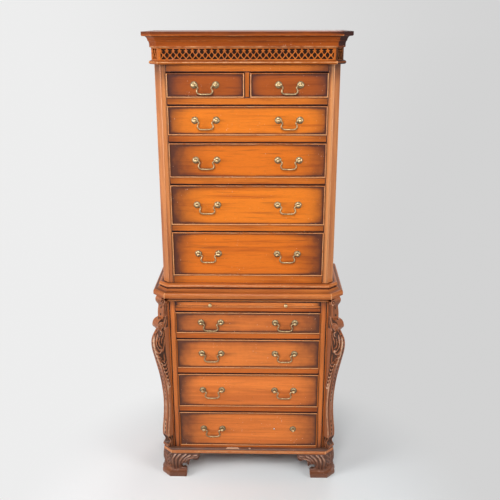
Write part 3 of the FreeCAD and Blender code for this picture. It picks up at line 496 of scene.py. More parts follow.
class Form:
    """A mesh in the making: points with a tone and a place in the grain, and faces."""

    def __init__(self) -> None:
        """Starts with nothing."""
        self.points: list = []
        self.tones: list = []
        self.grain: list = []
        self.faces: list = []
        self.slots: list = []
        self.count = 0

    def add(self, points: Any, faces: Iterable, tones: Any = 0.0, along: int = 0,
            grain: Any = None, slot: int = 0) -> None:
        """Adds a closed solid.

        Args:
            points: Its points, in millimetres.
            faces: Its faces, as numbers of its points.
            tones: One tone, or one for each point.
            along: The axis that its grain runs along.
            grain: The place in the grain of each point, if it isn't straight along the axis.
            slot: The number of its material.
        """
        points = np.asarray(points, float).reshape(-1, 3)
        if grain is None:
            grain = np.roll(points, -along, axis=1)
        shift = LUMBER.uniform(-4000, 4000, 3)
        self.points.append(points)
        self.tones.append(np.broadcast_to(np.asarray(tones, float), len(points)))
        self.grain.append(np.asarray(grain, float) + shift)
        self.faces += [tuple(int(corner) + self.count for corner in face) for face in faces]
        self.slots += [slot] * (len(self.faces) - len(self.slots))
        self.count += len(points)

    def loft(self, rings: Any, tones: Any = 0.0, closed: bool = False, **kept: Any) -> None:
        """Adds the skin over rings of points.

        Args:
            rings: An array of rings, points and coordinates.
            tones: One tone, one for each ring, or one for each point.
            closed: Whether the last ring meets the first; otherwise both are capped.
            kept: What add takes.
        """
        rings = np.asarray(rings, float)
        count, size = rings.shape[:2]
        tones = np.asarray(tones, float)
        if tones.ndim == 1 and len(tones) == count:
            tones = np.repeat(tones, size)
        faces: list = []
        for ring in range(count if closed else count - 1):
            here, after = ring * size, (ring + 1) % count * size
            faces += [(here + a, here + b, after + b, after + a) for a, b in rims([range(size)])]
        if not closed:
            faces += [range(size), range((count - 1) * size, count * size)]
        self.add(rings.reshape(-1, 3), faces, tones.reshape(-1) if tones.ndim else tones, **kept)

    def turned(self, profile: Sequence, centre: Sequence[float], steps: int) -> None:
        """Adds a turned piece whose axis runs towards the front.

        Args:
            profile: Radius, distance to the front and tone, from the back to the nose.
            centre: The axis's point at distance zero.
            steps: How many facets it has round its axis.
        """
        angles = np.linspace(0, 2 * math.pi, steps, endpoint=False)
        rings = [[(centre[0] + radius * math.cos(a), centre[1] - out, centre[2] + radius * math.sin(a))
                  for a in angles] for radius, out, _ in profile]
        self.loft(rings, [tone for _, _, tone in profile])

    def absorb(self, mesh: bpy.types.Mesh, place: Any = None, along: int = 0) -> None:
        """Adds a mesh that is in metres, with its tone.

        Args:
            mesh: The mesh, which is removed.
            place: A function that moves its points, in millimetres.
            along: The axis that the grain runs along.
        """
        points = np.empty(len(mesh.vertices) * 3)
        mesh.vertices.foreach_get("co", points)
        points = points.reshape(-1, 3) / MM
        tones = np.zeros(len(points))
        if "tone" in mesh.attributes:
            mesh.attributes["tone"].data.foreach_get("value", tones)
        faces = [tuple(face.vertices) for face in mesh.polygons]
        bpy.data.meshes.remove(mesh)
        self.add(place(points) if place else points, faces, tones, along)

    def mesh(self, name: str, merge: bool = True, angle: float = 38.0) -> bpy.types.Mesh:
        """The finished mesh, in metres.

        Args:
            name: The mesh's name.
            merge: Whether points in the same place become one.
            angle: The edge angle above which shading breaks, in degrees.

        Returns:
            The mesh.
        """
        mesh = bpy.data.meshes.new(name)
        mesh.from_pydata((np.concatenate(self.points) * MM).tolist(), [], self.faces)
        tone = mesh.attributes.new("tone", "FLOAT", "POINT")
        tone.data.foreach_set("value", np.concatenate(self.tones))
        grain = mesh.attributes.new("grain", "FLOAT_VECTOR", "POINT")
        grain.data.foreach_set("vector", (np.concatenate(self.grain) * MM).ravel())
        mesh.polygons.foreach_set("material_index", self.slots)
        work = bmesh.new()
        work.from_mesh(mesh)
        if merge:
            bmesh.ops.remove_doubles(work, verts=work.verts, dist=2e-6)
        bmesh.ops.recalc_face_normals(work, faces=work.faces)
        work.to_mesh(mesh)
        work.free()
        mesh.polygons.foreach_set("use_smooth", [True] * len(mesh.polygons))
        mesh.set_sharp_from_angle(angle=math.radians(angle))
        mesh.update()
        return mesh

    def piece(self, name: str, body: str, finishes: Sequence, slot: str, nodes: Sequence[str] = (),
              merge: bool = True, angle: float = 38.0) -> bpy.types.Object:
        """The finished piece, riding on its body.

        Args:
            name: The piece's name.
            body: The body that it moves with.
            finishes: Its finishes, by the numbers of its faces.
            slot: The material slot that it stands for; not used.
            nodes: The nodes that it replaces.
            merge: Whether points in the same place become one.
            angle: The edge angle above which shading breaks, in degrees.

        Returns:
            The object.
        """
        mesh = self.mesh(name, merge, angle)
        for finish in finishes:
            mesh.materials.append(finish.made())
        piece = placed(name, mesh)
        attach(piece, body)
        if nodes:
            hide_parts(*nodes)
        log.info("%s: %d faces", name, len(mesh.polygons))
        return piece


def flowing(points: Sequence, step: float) -> np.ndarray:
    """Evenly spaced points on a natural cubic.

    Args:
        points: The points that it passes through.
        step: The spacing.

    Returns:
        The points along it.
    """
    knots = np.asarray(points, float)
    run = np.r_[0, np.cumsum(np.linalg.norm(np.diff(knots, axis=0), axis=1))]
    gaps = np.diff(run)
    count = len(knots)
    matrix = np.eye(count)
    right = np.zeros_like(knots)
    for i in range(1, count - 1):
        matrix[i, i - 1:i + 2] = gaps[i - 1], 2 * (gaps[i - 1] + gaps[i]), gaps[i]
        right[i] = 6 * ((knots[i + 1] - knots[i]) / gaps[i] - (knots[i] - knots[i - 1]) / gaps[i - 1])
    bend = np.linalg.solve(matrix, right)
    at = np.linspace(0, run[-1], max(3, round(run[-1] / step) + 1))
    k = np.clip(np.searchsorted(run, at, side="right") - 1, 0, count - 2)
    gap = gaps[k][:, None]
    left = (run[k + 1] - at)[:, None]
    past = (at - run[k])[:, None]
    return (bend[k] * left ** 3 + bend[k + 1] * past ** 3) / (6 * gap) \
        + (knots[k] / gap - bend[k] * gap / 6) * left + (knots[k + 1] / gap - bend[k + 1] * gap / 6) * past


def bent(corners: Sequence, steps: int = 7) -> list:
    """A profile with its arcs drawn out.

    Args:
        corners: Across, up and an optional bend, the radius of the arc to the corner as a share
            of its chord, positive where it bulges.
        steps: How many chords an arc gets.

    Returns:
        The points, each with whether it is a corner.
    """
    drawn: list = []
    for number, corner in enumerate(corners):
        here = np.array(corner[:2], float)
        if len(corner) > 2 and number:
            last = np.array(corners[number - 1][:2], float)
            chord = here - last
            length = float(np.linalg.norm(chord))
            radius = abs(corner[2]) * length
            side = math.copysign(1.0, corner[2])
            out = np.array((chord[1], -chord[0])) / length * side
            centre = (here + last) / 2 - out * math.sqrt(max(radius ** 2 - length ** 2 / 4, 0))
            half = math.asin(min(1.0, length / 2 / radius))
            for share in np.linspace(-1, 1, steps + 1)[1:-1]:
                turn = half * share
                way = out * math.cos(turn) + chord / length * math.sin(turn)
                drawn.append((centre + way * radius, False))
        drawn.append((here, True))
    return drawn


def eased(corners: Sequence, extra: Sequence, ease: float = 0.9, hollow: float = 2.6,
          crest: float = 1.3) -> list:
    """A profile with soft corners: rubbing and painted highlight where they stand out, grime and painted
    shade where hollow.

    Args:
        corners: What bent takes, once round anticlockwise, in millimetres.
        extra: More marks: across, up and tone.
        ease: How far a corner is softened.
        hollow: How far the darkening of a hollow corner spreads.
        crest: How far the paleness of an arris spreads.

    Returns:
        Across, up and tone of each point.
    """
    drawn = bent(corners)
    soft, marks = [], [(np.array(mark[:2], float), mark[2]) for mark in extra]
    for number, (here, corner) in enumerate(drawn):
        before = drawn[number - 1][0] - here
        after = drawn[(number + 1) % len(drawn)][0] - here
        lengths = float(np.linalg.norm(before)), float(np.linalg.norm(after))
        before, after = before / lengths[0], after / lengths[1]
        turn = math.degrees(math.atan2(-before[0] * after[1] + before[1] * after[0],
                                       -float(before @ after)))
        if not corner or abs(turn) < 14:
            soft.append(here)
            continue
        marks.append((here, max(-1.0, turn / 50) if turn < 0 else min(0.65, turn / 110)))
        cut = min(ease, lengths[0] * 0.4, lengths[1] * 0.4)
        start, end = here + before * cut, here + after * cut
        soft += [here + before * gap for gap in (4.5, 2.6) if cut < gap < lengths[0] * 0.45]
        soft += [start, here * 0.5 + start * 0.4 + end * 0.1, here * 0.5 + start * 0.1 + end * 0.4, end]
        soft += [here + after * gap for gap in (2.6, 4.5) if cut < gap < lengths[1] * 0.45]
    toned = []
    for point in soft:
        tone = 0.0
        for mark, strength in marks:
            gap = max(0.0, float(np.linalg.norm(point - mark)) - ease)
            tone += strength * math.exp(-gap / (hollow if strength < 0 else crest))
        toned.append((*point, max(-1.0, min(0.7, tone))))
    return toned


def planks(node: str) -> list:
    """The closed solids of a CAD node.

    Args:
        node: The node's name.

    Returns:
        The triangles of each solid, in millimetres.
    """
    solids, current, open_edges = [], [], {}
    mesh = frame["nodes"][node].data
    for face in mesh.polygons:
        corners = [tuple(round(part / MM, 3) for part in mesh.vertices[v].co) for v in face.vertices]
        current.append(corners)
        for start, end in zip(corners, corners[1:] + corners[:1]):
            if open_edges.get((end, start)):
                open_edges[end, start] -= 1
                if not open_edges[end, start]:
                    del open_edges[end, start]
            else:
                open_edges[start, end] = open_edges.get((start, end), 0) + 1
        if not open_edges:
            solids.append(current)
            current = []
    return solids


def ease_planks(form: Form, solids: Sequence, ease: float, edge_tone: float, rim: float = 0.0) -> None:
    """Adds copies of CAD solids with softened edges.

    Args:
        form: The form that gets them.
        solids: What planks gives.
        ease: The width of the softened edge.
        edge_tone: The tone of the softened edge: rubbing and painted highlight above zero, painted shade
            below.
        rim: The tone along the edges of the front faces, painted shade round the openings, doubled on the
            lower half and at 0.7 on the upper.
    """
    for solid in solids:
        work = bmesh.new()
        for corners in solid:
            work.faces.new([work.verts.new(corner) for corner in corners])
        bmesh.ops.remove_doubles(work, verts=work.verts, dist=0.01)
        bmesh.ops.dissolve_limit(work, angle_limit=0.02, verts=work.verts, edges=work.edges)
        sharp = [edge for edge in work.edges
                 if len(edge.link_faces) == 2 and edge.calc_face_angle(0) > math.radians(20)]
        hollows = [(edge.verts[0].co.copy(), edge.verts[1].co.copy()) for edge in sharp if not edge.is_convex]
        made = bmesh.ops.bevel(work, geom=sharp, offset=ease, segments=2, profile=0.5,
                               affect="EDGES", clamp_overlap=True)
        strips = set(made["faces"])
        front = [face for face in work.faces if face.normal.y < -0.9 and face not in strips]
        ring = []
        if rim and front:
            ring = bmesh.ops.inset_individual(work, faces=front, thickness=2.8, use_even_offset=True)["faces"]
        inner, outer = ({vert for face in faces for vert in face.verts} for faces in (front, ring))
        edge = outer - inner
        work.verts.index_update()
        points = np.array([vert.co for vert in work.verts])
        middle = (points[:, 2].min() + points[:, 2].max()) / 2
        tones = []
        # Hollow corners dark, grime and painted shade; front rims and softened edges take their given tones.
        for vert in work.verts:
            gaps = [(vert.co - intersect_point_line(vert.co, *line)[0]).length for line in hollows]
            if gaps and min(gaps) < ease * 1.3:
                tones.append(-1.0)
            elif vert in edge:
                tones.append(rim * (2.0 if vert.co.z < middle else 0.7))
            else:
                tones.append(edge_tone if strips.issuperset(vert.link_faces) else 0.0)
        faces = [[vert.index for vert in face.verts] for face in work.faces]
        work.free()
        form.add(points, faces, tones, along=int((points.max(0) - points.min(0)).argmax()))


class Shopwork(Tree):
    """A Geometry Nodes tree with named inputs, run on a mesh."""

    def __init__(self, name: str, inputs: dict) -> None:
        """Starts the tree.

        Args:
            name: Its name.
            inputs: The socket type of each named input.
        """
        self.group = bpy.data.node_groups.new(name, "GeometryNodeTree")
        self.ids = {}
        for label, kind in {"Path": "NodeSocketGeometry", **inputs}.items():
            item = self.group.interface.new_socket(label, in_out="INPUT", socket_type=kind)
            self.ids[label] = item.identifier
        self.group.interface.new_socket("Work", in_out="OUTPUT", socket_type="NodeSocketGeometry")
        super().__init__(self.group.nodes, self.group.links)
        self.given = self.node("NodeGroupInput").outputs

    def end(self, work: Any) -> None:
        """Ends the tree: instances made real, and one material."""
        real = self.node("GeometryNodeRealizeInstances", {}, {"Geometry": work})
        dressed = self.node("GeometryNodeSetMaterial", {}, {
            "Geometry": real.outputs[0], "Material": self.given["Material"]})
        self.node("NodeGroupOutput", {}, {0: dressed.outputs[0]})

    def run(self, points: Any, radii: Any = None, **values: Any) -> bpy.types.Mesh:
        """Runs the tree on a line of points.

        Args:
            points: The line's points, in millimetres.
            radii: The radius of each point.
            values: The inputs, by name.

        Returns:
            The mesh that it makes, in metres.
        """
        points = np.asarray(points, float) * MM
        line = bpy.data.meshes.new("line")
        line.from_pydata(points.tolist(), [(i, i + 1) for i in range(len(points) - 1)], [])
        if radii is not None:
            line.attributes.new("thickness", "FLOAT", "POINT").data.foreach_set(
                "value", np.asarray(radii, float) * MM)
        carrier = placed("carrier", line)
        modifier = carrier.modifiers.new("work", "NODES")
        modifier.node_group = self.group
        for label, value in values.items():
            modifier[self.ids[label]] = value
        bpy.context.view_layer.update()
        depsgraph = bpy.context.evaluated_depsgraph_get()
        mesh = bpy.data.meshes.new_from_object(carrier.evaluated_get(depsgraph))
        carrier.modifiers.remove(modifier)
        bpy.data.objects.remove(carrier)
        return mesh


class Row(Shopwork):
    """Copies of a small piece, evenly spaced along a path and turned with it."""

    def __init__(self, name: str, pivot: str) -> None:
        """Builds the tree.

        Args:
            name: Its name.
            pivot: The axis about which the copies turn.
        """
        super().__init__(name, {
            "Piece": "NodeSocketObject", "Count": "NodeSocketInt", "Seed": "NodeSocketInt",
            "Uneven": "NodeSocketFloat", "Material": "NodeSocketMaterial"})
        curve = self.node("GeometryNodeMeshToCurve", {}, {"Mesh": self.given["Path"]})
        even = self.node("GeometryNodeResampleCurve", {}, {
            "Curve": curve.outputs[0], "Count": self.given["Count"]})
        tangent = self.node("GeometryNodeInputTangent")
        turn = self.node("FunctionNodeAlignRotationToVector", {"axis": "X", "pivot_axis": pivot}, {
            "Vector": tangent.outputs[0]})
        less = self.node("ShaderNodeMath", {"operation": "SUBTRACT"}, {0: 1.0, 1: self.given["Uneven"]})
        scale = self.node("FunctionNodeRandomValue", {"data_type": "FLOAT"}, {
            "Seed": self.given["Seed"], 2: less.outputs[0], 3: 1.0})
        piece = self.node("GeometryNodeObjectInfo", {}, {"Object": self.given["Piece"]})
        placed = self.node("GeometryNodeInstanceOnPoints", {}, {
            "Points": even.outputs[0], "Instance": piece.outputs["Geometry"],
            "Rotation": turn.outputs[0], "Scale": scale.outputs[1]})
        self.end(placed.outputs[0])

    def laid(self, form: Form, small: Form, path: Any, count: int, finish: Any, place: Any = None,
             along: int = 0, uneven: float = 0.0) -> None:
        """Adds the row to a form.

        Args:
            form: The form that gets it.
            small: The piece that is repeated.
            path: The line from the first piece to the last.
            count: How many pieces there are.
            finish: Their finish.
            place: A function that moves the points of the row.
            along: The axis of the grain.
            uneven: How much smaller the smallest copy is.
        """
        master = bpy.data.objects.new("master", small.mesh("master"))
        values = {"Piece": master, "Count": count, "Seed": 7, "Uneven": uneven, "Material": finish.made()}
        form.absorb(self.run(path, None, **values), place, along)
        bpy.data.objects.remove(master)


class Rod(Shopwork):
    """A round rod of changing thickness along a path."""

    def __init__(self) -> None:
        """Builds the tree."""
        super().__init__("rod", {"Sides": "NodeSocketInt", "Material": "NodeSocketMaterial"})
        curve = self.node("GeometryNodeMeshToCurve", {}, {"Mesh": self.given["Path"]})
        radius = self.node("GeometryNodeInputNamedAttribute", {"data_type": "FLOAT"}, {"Name": "thickness"})
        ring = self.node("GeometryNodeCurvePrimitiveCircle", {}, {
            "Resolution": self.given["Sides"], "Radius": 1.0})
        swept = self.node("GeometryNodeCurveToMesh", {}, {
            "Curve": curve.outputs[0], "Profile Curve": ring.outputs[0],
            "Scale": radius.outputs[0], "Fill Caps": True})
        self.end(swept.outputs[0])


# Cabinet work


@dataclass(frozen=True)
class Plan:
    """The outline of a case or a moulding from above, with its two cants."""

    half: float
    corner: float
    front: float
    back: float = 180.931

    @property
    def cant_end(self) -> float:
        """Where a cant meets the side."""
        return self.front + self.half - self.corner

    def spread(self, side: float, corner: float, front: float) -> "Plan":
        """The outline of a moulding that stands out by these reaches."""
        return Plan(self.half + side, self.corner + corner, self.front - front, self.back)

    def grown(self, reach: float) -> "Plan":
        """The outline of a moulding of one reach."""
        return self.spread(reach, reach * math.tan(math.pi / 8), reach)

    def corners(self) -> np.ndarray:
        """The corners, from the left back to the right back."""
        return np.array([(-self.half, self.back), (-self.half, self.cant_end), (-self.corner, self.front),
                         (self.corner, self.front), (self.half, self.cant_end), (self.half, self.back)])


UPPER_PLAN = Plan(326.0, 303.0, -122.069)
LOWER_PLAN = Plan(338.0, 304.0, -142.069)


@dataclass(frozen=True)
class Moulding:
    """A moulding round the front, the cants and the sides, as shares of its reach and height."""

    shares: Sequence
    inner: Plan
    outer: Plan
    low: float
    height: float
    marks: Sequence = ()
    spot: float = 0.9
    right_cant_shade: float = 0.0

    MITRE = 3.5
    PLACES = 25

    def add_to(self, form: Form) -> None:
        """Sweeps the profile round the plan, paler at the front mitres and darkened on the right cant,
        painted shade.
        """
        inner, outer = self.inner.corners(), self.outer.corners()
        reach = self.inner.front - self.outer.front
        shares = [(out * reach, up * self.height, *bend) for out, up, *bend in self.shares]
        marks = [(out * reach, up * self.height, tone) for out, up, tone in self.marks]
        out, up, shade = np.array(eased(shares, marks)).T
        crest = (out > reach * 0.8) & (shade > -0.2)
        run = np.r_[0, np.cumsum(np.linalg.norm(np.diff(outer, axis=0), axis=1))]
        mitres = run[1:-1]
        beside = np.r_[mitres - self.MITRE, mitres + self.MITRE]
        rings, tones, grain = [], [], []
        for place in np.unique(np.r_[run, beside, np.linspace(0, run[-1], self.PLACES)]):
            start, end = (np.array([np.interp(place, run, column) for column in plan.T])
                          for plan in (inner, outer))
            rings.append(np.c_[start + (end - start) * (out / reach)[:, None], self.low + up])
            # Paler crests at the two front mitres, and the right cant darkened as painted shade.
            spot = self.spot if np.abs(mitres[1:3] - place).min() < 0.01 else 0.0
            cant_shade_here = self.right_cant_shade * (mitres[2] + 0.01 < place < mitres[3] + 4)
            tones.append(shade + spot * crest - cant_shade_here)
            grain.append(np.c_[np.full(len(out), place), out, up])
        form.loft(rings, np.array(tones), grain=np.concatenate(grain))


CORNICE = ((0, 0), (0.30, 0), (0.36, 0.06), (0.42, 0.40, -1.3), (0.47, 0.415), (0.68, 0.70, -1.1),
           (0.95, 0.72), (1.0, 0.765), (1.0, 1.0), (0, 1.0))
ASTRAGAL = ((0, 0), (0.58, 0), (1.0, 0.5, 0.76), (0.58, 1.0, 0.76), (0, 1.0))
WAIST = ((0, 0), (0.94, 0), (1.0, 0.07, 0.91), (1.0, 0.24), (0.90, 0.43, 0.9), (0.86, 0.45),
         (0.42, 0.62, -1.17), (0.34, 0.64), (0.34, 0.69), (0.46, 0.82, 0.96), (0.34, 0.985, 0.96), (0, 1.0))
LEDGE = ((0, 0), (0.15, 0), (0.15, 0.15), (0.75, 0.65, -0.89), (1.0, 0.65), (1.0, 1.0), (0, 1.0))
BASE = ((0, 0), (0.86, 0), (1.0, 0.10), (1.0, 0.50), (0.72, 1.0, 1.2), (0, 1.0))

# Patches of the base's top where the polish is gone.
BARE = (((-92, -157), (-70, -158.5), (-52, -157), (-37, -158), (-40, -151), (-44, -146), (-66, -147.5),
         (-86, -146), (-89, -151)), ((2, -158), (9, -157.5), (10, -151), (5, -149), (1, -152)))


def mouldings() -> None:
    """The cornice, the bead under the frieze, the waist with its ledge, and the base."""
    upper, lower = UPPER_PLAN, LOWER_PLAN
    # The marks lighten and darken bands of each profile: mostly painted highlight on crests and painted shade
    # in quirks and under fillets, with grime and rubbing.
    cornice = Moulding(CORNICE, upper, upper.spread(36, 22, 50), 1711.0, 53.0, (
        (0.30, 0.02, 0.3), (1.0, 0.82, -0.2), (1.0, 0.90, -0.35), (1.0, 0.98, -0.6), (0.7, 1.0, -0.5),
        (0.74, 0.71, -0.9), (0.42, 0.40, 0.9), (1.0, 1.0, -0.2)), spot=0.5, right_cant_shade=0.75)
    astragal = Moulding(ASTRAGAL, upper, upper.grown(18), 1655.0, 13.0, (
        (0.45, 1.0, -1.3), (0.30, 0, -1.0), (0.99, 0.62, 0.7)), right_cant_shade=0.8)
    waist = Moulding(WAIST, upper, upper.spread(38.8, 13.9, 50), 797.0, 49.0, (
        (0.45, 0.86, 0.5), (0.05, 1.0, -1.0), (1.0, 0.2, 0.9), (0.66, 0.55, -0.7), (0.78, 0.49, -0.5)))
    ledge = Moulding(LEDGE, lower, lower.grown(12), 777.0, 20.0, (
        (0.5, 0.4, -1.2), (1.0, 0.8, -0.9), (0.8, 0.6, -0.6)), spot=0)
    base = Moulding(BASE, lower, lower.spread(13, 13, 18), 105.0, 22.5, (
        (0.05, 1.0, -1.0), (0.35, 1.0, -0.5), (0.70, 1.0, -1.0), (0.90, 0.82, -0.8), (1.0, 0.52, 0.8)))
    for name, node, finishes, parts in (
            ("cornice_moulding", "cornice", [MOULDING_WOOD], (cornice,)),
            ("frieze_astragal", "frieze_bead", [BEAD_WOOD], (astragal,)),
            ("waist_and_ledge", "waist_moulding", [WAIST_WOOD], (waist, ledge)),
            ("base_ledge", "base_moulding", [BASE_WOOD, BARE_WOOD], (base,))):
        form = Form()
        for part in parts:
            part.add_to(form)
        if base in parts:
            for outline in BARE:
                form.loft([[(x, y, z) for x, y in outline] for z in (127.0, 127.65)], slot=1)
        form.piece(name, "carcase", finishes, "show_wood", [node])


@dataclass(frozen=True)
class Backing:
    """The back of a case: upright boards with eased joints, held by rows of screws."""

    case: str
    count: int = 6
    sunk: float = 0.4
    joint: float = 1.4

    HEAD = ((0.3, 2.0, -1), (3.6, 2.0, -1), (3.7, -0.1, -0.6), (3.3, -0.34, 0.1), (0.3, -0.36, 0.0))
    SLOT = ((0, 1, 3, 2), (4, 5, 7, 6), (0, 1, 5, 4), (2, 3, 7, 6), (0, 2, 6, 4), (1, 3, 7, 5))
    TONES = (-0.6, -0.9, -0.1, 0.1, -0.1, -0.9, -0.6)

    def build(self) -> None:
        """Makes the boards and their screws."""
        node = f"{self.case}_back_panel"
        low, high = (np.array(part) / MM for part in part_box(node))
        face, joint = high[1] - self.sunk, self.joint
        wide = (high[0] - low[0]) / self.count
        heights = np.r_[low[2], low[2] + 25, np.linspace(low[2] + 90, high[2] - 90, 6), high[2] - 25, high[2]]
        tones = np.zeros((len(heights), 1)) + self.TONES
        tones[[0, -1]] -= 0.5
        form, screws, head = Form(), Form(), Form()
        for left in low[0] + wide * np.arange(self.count):
            right = left + wide
            section = ((left, low[1]), (left, face - joint), (left + joint, face), (left + wide * 0.5, face),
                       (right - joint, face), (right, face - joint), (right, low[1]))
            form.loft([[(x, y, z) for x, y in section] for z in heights], tones, along=2)
        form.piece(f"{self.case}_back_boards", "carcase", [BACK_OAK], "back_wood", [node], merge=False)
        head.turned(self.HEAD, (0, 0, 0), 12)
        head.add([(x, y, z) for x in (-2.9, 2.9) for y in (0.2, 0.39) for z in (-0.4, 0.4)], self.SLOT, -1.0)
        row = Row(f"{self.case}_screw_row", "Y")
        for z in (low[2] + 14, (low[2] + high[2]) / 2, high[2] - 14):
            path = [(low[0] + wide * 0.25, face, z), (high[0] - wide * 0.25, face, z)]
            row.laid(screws, head, path, self.count * 2, BRASS)
        screws.piece(f"{self.case}_back_screws", "carcase", [BRASS], "brass", merge=False)


def dress(node: str, finish: Finish) -> None:
    """Gives a CAD node its finish."""
    for slot in frame["nodes"][node].material_slots:
        slot.material = finish.made()


def carcase() -> None:
    """The two cases: what shows in front is softened, and the rest gets its wood."""
    for case, post, rail in (("upper", FRAME_WOOD, RAIL_WOOD), ("lower", LOWER_FRAME, LOWER_RAIL)):
        # Posts: pale softened arrises, rubbing and painted highlight; rails: dark softened edges; both darker
        # round the drawer openings, painted shade.
        for part, finish, ease, edge_tone, rim in (("corner_posts", post, 2.4, 0.7, -0.35),
                                              ("front_rails", rail, 1.0, -0.7, -0.6)):
            form = Form()
            ease_planks(form, planks(f"{case}_{part}"), ease, edge_tone, rim)
            form.piece(f"{case}_{part}_polished", "carcase", [finish], "show_wood", [f"{case}_{part}"])
        dress(f"{case}_sides", SIDE_WOOD)
        dress(f"{case}_end_boards", TOP_WOOD)
        Backing(case).build()
        dress(f"{case}_runners", RUNNER_OAK)


@dataclass(frozen=True)
class Fret:
    """The pierced frieze: cells with a bar, a heart and a triangle, and lozenges between them."""

    low: float = 1668.0
    height: float = 43.0
    reach: float = 8.0
    margin: float = 4.5

    HEART = ((-0.41, 0.90), (-0.38, 0.80), (-0.20, 0.775), (-0.20, 0.73), (-0.35, 0.70), (-0.29, 0.60),
             (0, 0.47), (0.29, 0.60), (0.35, 0.70), (0.20, 0.73), (0.20, 0.775), (0.38, 0.80),
             (0.41, 0.90))
    TRIANGLE = ((-0.36, 0.10), (0.36, 0.10), (0.33, 0.17), (0, 0.36), (-0.33, 0.17))
    BITE = ((0, 0), (0, 0.17), (0.30, 0.355), (0.30, 0.465), (0, 0.65), (0, 1))
    CELLS = ((2, 27), (0, 12), (4, 12), (1, 2), (3, 2))

    def cell(self, pitch: float) -> Form:
        """One column of the frieze, with half a lozenge at each side."""
        half = pitch / 2
        bite = [(pitch * out, self.height * z) for out, z in self.BITE]
        rim = [(half - out, z) for out, z in bite] + [(out - half, z) for out, z in bite[::-1]]
        holes = [[(pitch * x, self.height * z) for x, z in shares] for shares in (self.HEART, self.TRIANGLE)]
        form = Form()
        flat, faces = triangulated([rim, *holes], None)
        front = np.c_[flat[:, 0], np.full(len(flat), -self.reach), flat[:, 1]]
        # Slightly pale in front and dark behind: the dark walls of the holes are painted shade.
        plate(form, front, front * (1, 0, 1), faces, [rim, *holes], (0.25, -1.0))
        return form

    def build(self) -> None:
        """Lays the cells along the front, the sides and the cants, with plain ends between."""
        form = Form()
        row = Row("fret_row", "Z")
        plan, outer = UPPER_PLAN, UPPER_PLAN.grown(self.reach).corners()
        inner = plan.corners()
        ends = []
        for number in range(5):
            start, end = inner[number], inner[number + 1]
            way = (end - start) / np.linalg.norm(end - start)
            away = np.array((way[1], -way[0])) * self.reach
            first, last = start + way * self.margin, end - way * self.margin
            ends += [(start, outer[number], first + away, first), (last, last + away, outer[number + 1], end)]
        for number, count in self.CELLS:
            start, end = inner[number], inner[number + 1]
            length = float(np.linalg.norm(end - start))
            way, pitch = (end - start) / length, (length - self.margin * 2) / count
            inset = way * (self.margin + pitch / 2)
            path = [(*(start + inset), self.low), (*(end - inset), self.low)]
            row.laid(form, self.cell(pitch), path, count, FRET_WOOD)
        # A dark sheet just behind the fret: painted shade seen through the holes.
        low, high = 0.5, self.height - 0.5
        shade = [[(*p, self.low + rise) for p in plan.grown(reach).corners()]
                 for reach, rise in ((0.2, low), (0.9, low), (0.9, high), (0.2, high))]
        form.loft(np.array(shade).transpose(1, 0, 2), -1.0)
        for corners in ends:
            form.loft([[(*p, z) for p in corners] for z in (self.low, self.low + self.height)], 0.1)
        form.piece("pierced_frieze", "carcase", [FRET_WOOD], "carved_wood", ["fret_frieze"])


def inside(points: np.ndarray, loop: Sequence) -> np.ndarray:
    """Which points are inside a loop.

    Args:
        points: The points, one row each.
        loop: The loop's corners.

    Returns:
        A truth for each point.
    """
    found = np.zeros(len(points), bool)
    corners = np.asarray(loop, float)
    for (x0, y0), (x1, y1) in zip(corners, np.roll(corners, -1, axis=0)):
        if y0 == y1:
            continue
        crossing = (y0 > points[:, 1]) != (y1 > points[:, 1])
        found ^= crossing & (points[:, 0] < (x1 - x0) * (points[:, 1] - y0) / (y1 - y0) + x0)
    return found


def triangulated(loops: Sequence, step: Optional[float]) -> tuple:
    """Triangles that fill a loop less its holes.

    Args:
        loops: The outline and then the holes.
        step: The spacing of points inside, or None for none.

    Returns:
        The points, with the loops' own first, and the triangles.
    """
    points = np.concatenate([np.asarray(loop, float) for loop in loops])
    edges = rims(loops)
    if step:
        low, high = points.min(0), points.max(0)
        rows = []
        for number, up in enumerate(np.arange(low[1] + step / 2, high[1], step * 0.87)):
            across = np.arange(low[0] + step * (0.25 + 0.5 * (number % 2)), high[0], step)
            rows.append(np.c_[across, np.full(len(across), up)])
        grid = np.concatenate(rows)
        keep = inside(grid, loops[0])
        for a, b in edges[:len(loops[0])]:
            way = points[b] - points[a]
            length = max(float(np.linalg.norm(way)), 1e-6)
            share = np.clip(((grid - points[a]) @ way) / length ** 2, 0, 1)
            keep &= np.linalg.norm(grid - points[a] - share[:, None] * way, axis=1) > step * 0.45
        points = np.r_[points, grid[keep]]
    spots, _, triangles, sources, *_ = delaunay_2d_cdt([Vector(p) for p in points], edges, [], 0, 1e-6)
    flat = np.array([tuple(spot) for spot in spots])
    order = np.array([source[0] if source else -1 for source in sources])
    faces = np.array([face[:3] for face in triangles])
    middles = flat[faces].mean(axis=1)
    keep = inside(middles, loops[0])
    for hole in loops[1:]:
        keep &= ~inside(middles, hole)
    return points, order[faces[keep]]


def plate(form: Form, front: np.ndarray, back: np.ndarray, faces: np.ndarray, loops: Sequence,
          tones: Sequence) -> None:
    """Adds a flat pattern as a plate.

    Args:
        form: The form that gets it.
        front: The pattern's points in front, those of its outlines first.
        back: The same points behind.
        faces: The pattern's triangles.
        loops: Its outlines.
        tones: The tone in front, one or one for each point, and the tone behind.
    """
    count = len(front)
    sides = [(a, b, b + count, a + count) for a, b in rims(loops)]
    shades = np.r_[np.broadcast_to(tones[0], count), np.full(count, tones[1])]
    form.add(np.r_[front, back], [*faces, *(faces + count), *sides], shades)


# Drawers and brass


def edge_steps(low: float, high: float) -> np.ndarray:
    """Places from one edge to the other, close together near both."""
    steps = np.array((0, 0.8, 1.8, 3.2, 5, 8, 12, 18, 26, 38, 54, 74, 100, 130, 170))
    steps = steps[steps < (high - low) / 2 * 0.9]
    return np.unique(np.r_[low + steps, (low + high) / 2, high - steps])


# The handle that has lost its bail and its left rose: its drawer, and whether it is the right one.
LOST = ("lower_drawer_4", True)


